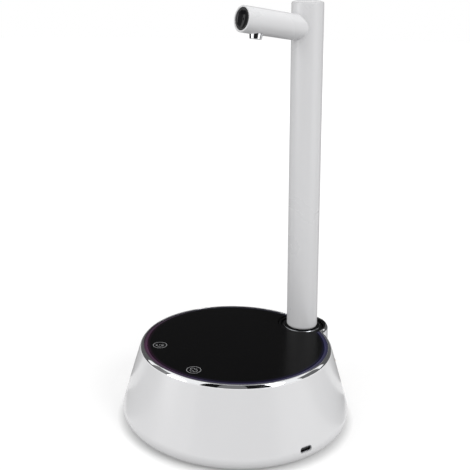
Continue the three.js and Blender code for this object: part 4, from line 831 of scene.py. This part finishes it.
underside = {
    "pad": 58.0, "padTop": 1.6, "padEdge": 0.4, "padGrooves": (14, 22, 30, 38, 46, 54),
    "cover": 73.85, "low": 0.8, "high": 3.2, "coverEdge": 0.35,
    "recess": 58.15, "recessTop": 1.6, "recessEdge": 0.2, "groove": 63.0,
    "screws": 68.5, "screwAngles": (60, 120, 240, 300),
    "sink": 2.75, "sinkEdge": 0.25, "sinkFloor": 2.45, "screwHole": 1.45,
    "lap": 0.05,    # how far the copied posts run into the plate
}
screw = {"seat": 0.95, "head": 2.6, "headHigh": 1.5, "edge": 0.5, "shank": 1.3, "long": 8.2,
         "tip": 9.3, "slot": (1.5, 0.28), "slotDeep": (0.7, 0.72)}


def screwPlaces():
    reach = underside["screws"]
    return [(reach * math.cos(math.radians(angle)), reach * math.sin(math.radians(angle)))
            for angle in underside["screwAngles"]]


def groove(radius, half, level, deep=0.35, floor=0.3):
    # profile of a groove in a face that looks down, from its inner side out
    return [(radius - half, level), (radius - floor, level + deep), (radius + floor, level + deep),
            (radius + half, level)]


def makePad():
    u = underside
    grooves = [point for radius in u["padGrooves"] for point in groove(radius, 0.6, 0.0)]
    edge = u["padEdge"]
    return turned([(0, 0), *grooves, *arc(u["pad"] - edge, edge, edge, -90, 0, 4),
                   (u["pad"], u["padTop"]), (0, u["padTop"])], 128, False)


def makeCover():
    # plate with a soft edge, a fine groove and counterbores, under the CAD cover's inner posts
    u = underside
    low, high, edge, soft = u["low"], u["high"], u["coverEdge"], u["recessEdge"]
    plate = turned([
        (0, u["recessTop"]), (u["recess"], u["recessTop"]), (u["recess"], low + soft),
        (u["recess"] + soft, low), *groove(u["groove"], 0.5, low),
        *arc(u["cover"] - edge, low + edge, edge, -90, 0, 4), (u["cover"], high), (0, high)],
        192, False)
    sink, soft, hole, floor = u["sink"], u["sinkEdge"], u["screwHole"], u["sinkFloor"]
    bore = [(0, 0), (sink + soft, 0), (sink + soft, low), (sink, low + soft), (sink, floor),
            (hole, floor), (hole, 4), (0, 4)]
    bores = [turned(bore, 40, False, placed(x, y, 0)) for x, y in screwPlaces()]
    plate = cut(plate, ("DIFFERENCE", merged(*bores)))
    posts = bmesh.new()
    posts.from_mesh(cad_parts["bottom_cover"].data)
    bmesh.ops.remove_doubles(posts, verts=posts.verts, dist=1e-6)
    bmesh.ops.bisect_plane(posts, geom=[*posts.verts, *posts.edges, *posts.faces],
                           plane_co=mm(0, 0, high - u["lap"]), plane_no=(0, 0, 1), clear_inner=True)
    flat = [face for face in posts.faces
            if all(abs(v.co.z * 1000 - high) < u["lap"] + 0.01 for v in face.verts)]
    bmesh.ops.delete(posts, geom=flat, context="FACES")
    rest = [v for v in posts.verts
            if not v.link_faces or math.hypot(v.co.x, v.co.y) * 1000 > u["cover"] - 0.5]
    bmesh.ops.delete(posts, geom=rest, context="VERTS")
    bmesh.ops.holes_fill(posts, edges=[edge for edge in posts.edges if edge.is_boundary], sides=0)
    return merged(plate, posts)


def makeScrew(x, y):
    # pan head from below, with a cross recess
    s = screw
    edge, (reach, half), (deep, deeper) = s["edge"], s["slot"], s["slotDeep"]
    head = turned([(0, 0), *arc(s["head"] - edge, edge, edge, -90, 0, 4),
                   (s["head"], s["headHigh"]), (s["shank"], s["headHigh"]), (s["shank"], s["long"]),
                   (0, s["tip"])], 32, False)
    made = cut(head, ("DIFFERENCE", brick((-reach, reach), (-half, half), (-1, deep))),
               ("DIFFERENCE", brick((-half, half), (-reach, reach), (-1, deeper))))
    return moved(made, Matrix.Translation(mm(x, y, s["seat"])))


piece(makePad(), "restPad", "padRubber", "base", "rubber", "anti_slip_pad")
piece(makeCover(), "coverPlate", "whiteMoulded", "base", "white_inner", "bottom_cover")
for number, (x, y) in enumerate(screwPlaces(), 1):
    piece(makeScrew(x, y), f"coverScrewHead{number}", "drawnSteel", "base", "steel",
          f"cover_screw_{number}")
print("underside made")


# charging socket, in the housing's slot

socket = {
    "mouth": 80.85, "length": 7.4, "shell": 0.35, "gap": 0.1, "root": 1.5,
    "tongue": (6.6, 0.7, 4.8), "tongueIn": 1, "tongueEdge": 0.12,
    "contacts": 12, "pitch": 0.5, "contactFrom": 2.4, "contact": (3.4, 0.14, 0.02),
}
socketBack = socket["mouth"] - socket["length"]


def makeSocketCase():
    width, height, z = housing["socket"]
    wall = socket["shell"]
    tube = stadium(width, height, (socketBack, socket["mouth"]), z)
    inside = stadium(width, height, (socketBack + wall, housing["outside"]), z, -wall)
    return cut(tube, ("DIFFERENCE", inside))


def makeTongue():
    s = socket
    width, height, z = housing["socket"]
    wide, thick, long = s["tongue"]
    back = socketBack + s["shell"] + s["gap"]
    root = stadium(width, height, (back, back + s["root"]), z, -s["shell"] - s["gap"])
    blade = brick((back + s["tongueIn"], back + s["root"] + long), (-wide / 2, wide / 2),
                  (z - thick / 2, z + thick / 2))
    return merged(root, bevelled(blade, s["tongueEdge"], 2))


def makeContacts():
    s = socket
    back, z = socketBack + s["contactFrom"], housing["socket"][2]
    long, half, thick = s["contact"]
    strips = []
    for i in range(s["contacts"]):
        y = (i - (s["contacts"] - 1) / 2) * s["pitch"]
        for level in (z - s["tongue"][1] / 2, z + s["tongue"][1] / 2):
            strips.append(brick((back, back + long), (y - half, y + half),
                                (level - thick, level + thick)))
    return merged(*strips)


piece(makeSocketCase(), "socketShell", "socketSteel", "base", "steel", "socket_case")
piece(makeTongue(), "socketBlade", "blackMoulded", "base", "black_matte", "socket_tongue")
piece(makeContacts(), "socketContacts", "turnedBrass", "base", "brass")


# hose inlet at the back: tail for the inner tube, thread, flange and a barb with two ridges

inlet = {
    "tail": 2.1, "tailTip": 1.9, "tailLow": 58.6, "tailCone": 60.5, "tailBore": 1.4,
    "boreStep": 64.5, "thread": 5.0, "threadLow": 66.5,
    "face": 78.545, "flange": 7.2, "thick": 2.5, "edge": 0.5,
    "bore": 2.0, "mouth": 0.4, "long": 15.0,
    "valley": 3.4 * 0.9, "ridge": 3.4 * 1.08, "ridges": (5, 10), "run": 4,
}


def makeInlet():
    i = inlet
    top, edge = i["face"] + i["thick"], i["edge"]
    end, (first, second) = top + i["long"], i["ridges"]
    low, high = i["valley"], i["ridge"]
    return turned([
        (i["tailBore"], i["tailLow"]), (i["tailTip"], i["tailLow"]), (i["tail"], i["tailCone"]),
        (i["tail"], i["threadLow"]), (i["thread"], i["threadLow"]), (i["thread"], i["face"]),
        (i["flange"], i["face"]), *arc(i["flange"] - edge, top - edge, edge, 0, 90, 5),
        (low + edge, top), (low, top + edge), (low, top + first), (high, top + first),
        (low + 0.1, top + first + i["run"]), (low, top + second), (high, top + second),
        (i["bore"] + i["mouth"], end), (i["bore"], end), (i["bore"], i["threadLow"]),
        (i["tailBore"], i["boreStep"])], 64, at=atInlet)


piece(makeInlet(), "inletBarb", "turnedBrass", "base", "brass", "inlet_fitting")
print("socket and inlet made")


# finishes of the CAD nodes that stay

nodeFinish = {
    "circuitBoard": ["led_board", "control_board", "charge_board"],
    "blackMoulded": ["panel_carrier", "battery_tray", "motor_end_cap", "pump_chamber",
                     "head_cover", "aerator"],
    "drawnSteel": ["touch_spring_left", "touch_spring_right", "retaining_clip", "battery_bar",
                   "pump_motor", "motor_shaft", "motor_clamp",
                   *(f"head_screw_{number}" for number in range(1, 5))],
    "whiteMoulded": ["seat_cap", "column_spigot", "head_elbow", "nozzle_holder",
                     "eccentric", "wobble_plate", "valve_plate"],
    "padRubber": ["nipple_o_ring", "spigot_o_ring", "diaphragm", "motor_sleeve"],
    "clearSilicone": ["riser_tube", "spout_inner_tube", "inlet_tube", "outlet_tube"],
    "cellSleeve": ["battery_cell_1", "battery_cell_2"],
    "turnedBrass": ["inlet_nut"],
}
for finishName, nodeNames in nodeFinish.items():
    for nodeName in nodeNames:
        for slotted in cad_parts[nodeName].material_slots:
            slotted.material = finishes[finishName]


# studio: floor, soft lamps and the photograph's camera

studio = {
    "floor": (0.5, 0.5, 0.5), "floorRadius": 6, "world": 0.64,
    # the low first step of the lift, out to just past the base's edge, paints a dark shadow line on
    # the floor under it
    "lift": ((0.079, 0.2), (0.086, 0.5), (0.25, 0.5), (1.3, 0.75)),    # radius and strength
    "lamps": [
        # name, place, aim, size, power
        ("keyLamp", (1.86, 0.33, 1.48), (0, 0, 0.12), 1.2, 22),
        ("topLamp", (0.1, -0.2, 2.2), (0, 0, 0.05), 2.2, 10),
        ("fillLamp", (-0.78, -2.14, 0.74), (0, 0, 0.12), 1.5, 17),
    ],
    "cards": [
        # seen in gloss only: name, from and to (degrees anticlockwise from the camera's side),
        # near and far, low and high (metres), grey
        ("darkRoom", -40, 42, 1.62, 0.05, -0.01, 2.1, 0.010),
        ("darkFloor", -36, 38, 0.9, 1.62, 0.0005, 0.0005, 0.02),
        ("paleDoor", -20, 14, 1.2, 0.06, 0.48, 2.0, 0.20),
        ("greyRight", 80, 109, 1.62, 1.62, -0.01, 1.1, 0.15),
        ("greyRightFloor", 82, 109, 0.10, 1.62, 0.0005, 0.0005, 0.15),
        ("greyLeft", -108, -82, 1.62, 1.62, -0.01, 1.1, 0.22),
        ("greyLeftFloor", -108, -84, 0.10, 1.62, 0.0005, 0.0005, 0.35),
        ("edgeRight", 98, 119, 1.6, 1.6, 0.02, 0.3, 0.07),
        ("edgeLeft", -119, -98, 1.6, 1.6, 0.02, 0.3, 0.07),
        ("rearWall", 119, 241, 1.62, 1.62, -0.01, 1.2, 0.11),
        ("rearSky", 168, 192, 1.62, 1.3, 1.2, 2.3, 0.26),
        ("rearFloor", 119, 241, 0.10, 1.62, 0.0005, 0.0005, 0.14),
    ],
    "cameraSide": -35.1,
    "cameraAt": (466.4, -327.5, 300.1), "cameraAim": (-0.8350, 0.5448, -0.0771), "roll": 0.561,
    "focal": 800.174, "principal": (211.452, 63.81), "frame": 470,    # pixels
    "sensor": 36,
}


def backdropRays(tree):
    # 1 for the rays that see the backdrop itself: camera, gloss and glass
    seen = addNode(tree, "LightPath", {}).outputs
    last = seen["Is Camera Ray"]
    for label in ("Is Glossy Ray", "Is Transmission Ray"):
        last = combined(tree, "MAXIMUM", last, seen[label])
    return last


def emitter(tree, kind, grey, strength):
    return addNode(tree, kind, {"Color": (grey, grey, grey, 1), "Strength": strength}).outputs[0]


def makeFloor():
    # its lift to a pale tone is weak beside the object, so that the shadow under it stays, and
    # weaker still just under the base's edge, where it paints a thin dark shadow line on the floor
    finish, tree, shader, place = startFinish("paleFloor")
    feed(tree, shader, {"Base Color": (*studio["floor"], 1), "Roughness": 0.9,
                        "Specular IOR Level": 0.1})
    far = studio["lift"][-1][0]
    part = ranged(tree, measured(tree, "LENGTH", place), 0, far, 0, 1)
    amount = addNode(tree, "ValToRGB", {"Fac": part})
    stops = amount.color_ramp.elements
    for i, (radius, strength) in enumerate(studio["lift"]):
        stop = stops[i] if i < 2 else stops.new(radius / far)
        stop.position = radius / far
        stop.color = (strength, strength, strength, 1)
    shown = combined(tree, "MULTIPLY", backdropRays(tree), amount.outputs["Color"])
    lift = emitter(tree, "Emission", 1, shown)
    both = addNode(tree, "AddShader", {0: shader.outputs[0], 1: lift})
    feed(tree, tree.nodes["Material Output"], {"Surface": both.outputs[0]})
    bm = bmesh.new()
    bmesh.ops.create_circle(bm, cap_ends=True, radius=studio["floorRadius"], segments=96)
    floor = loose(bm, "studioFloor")
    floor.data.materials.append(finish)


def makeCards():
    # grey and black cards that only polished surfaces see, as a photographer sets them
    for name, start, end, near, far, low, high, grey in studio["cards"]:
        finish = bpy.data.materials.new(name)
        finish.use_nodes = True
        tree = finish.node_tree
        feed(tree, tree.nodes["Material Output"], {"Surface": emitter(tree, "Emission", grey, 1)})
        bm = bmesh.new()
        ends = [bm.verts.new((near, 0, low)), bm.verts.new((far, 0, high))]
        edge = bm.edges.new(ends)
        bmesh.ops.spin(bm, geom=[*ends, edge], cent=(0, 0, 0), axis=(0, 0, 1), dvec=(0, 0, 0),
                       angle=math.radians(end - start), steps=max(4, int((end - start) / 4)),
                       use_merge=False, use_duplicate=False)
        card = loose(moved(bm, placed(0, 0, studio["cameraSide"] + start)), name)
        card.data.materials.append(finish)
        card.visible_camera = card.visible_diffuse = card.visible_shadow = False
        card.visible_transmission = card.visible_volume_scatter = False


def makeWorld():
    world = bpy.data.worlds.new("studioWorld")
    bpy.context.scene.world = world
    world.use_nodes = True
    tree = world.node_tree
    either = addNode(tree, "MixShader", {"Fac": backdropRays(tree),
                                         1: emitter(tree, "Background", 1, studio["world"]),
                                         2: emitter(tree, "Background", 1, 1)})
    feed(tree, tree.nodes["World Output"], {"Surface": either.outputs[0]})


def makeLamps():
    for name, place, aim, size, power in studio["lamps"]:
        data = bpy.data.lights.new(name, "AREA")
        data.shape = "DISK"
        data.size = size
        data.energy = power
        lamp = added(name, data)
        lamp.location = place
        lamp.rotation_euler = (Vector(place) - Vector(aim)).to_track_quat("Z", "Y").to_euler()


def makeCamera():
    data = bpy.data.cameras.new("photoCamera")
    camera = added("photoCamera", data)
    forward = Vector(studio["cameraAim"]).normalized()
    right = forward.cross(Vector((0, 0, 1))).normalized()
    up = right.cross(forward)
    turn = math.radians(studio["roll"])
    camRight = right * math.cos(turn) + up * math.sin(turn)
    camUp = up * math.cos(turn) - right * math.sin(turn)
    camera.matrix_world = (Matrix.Translation(mm(*studio["cameraAt"]))
                           @ Matrix((camRight, camUp, -forward)).transposed().to_4x4())
    side = studio["frame"]
    data.sensor_width = studio["sensor"]
    data.lens = studio["focal"] / side * studio["sensor"]
    middle = (side - 1) / 2
    data.shift_x = (middle - studio["principal"][0]) / side
    data.shift_y = (studio["principal"][1] - middle) / side
    data.clip_start = 0.01
    bpy.context.scene.camera = camera


makeFloor()
makeCards()
makeWorld()
makeLamps()
makeCamera()
bpy.context.scene.view_settings.view_transform = "Standard"
print("studio made")
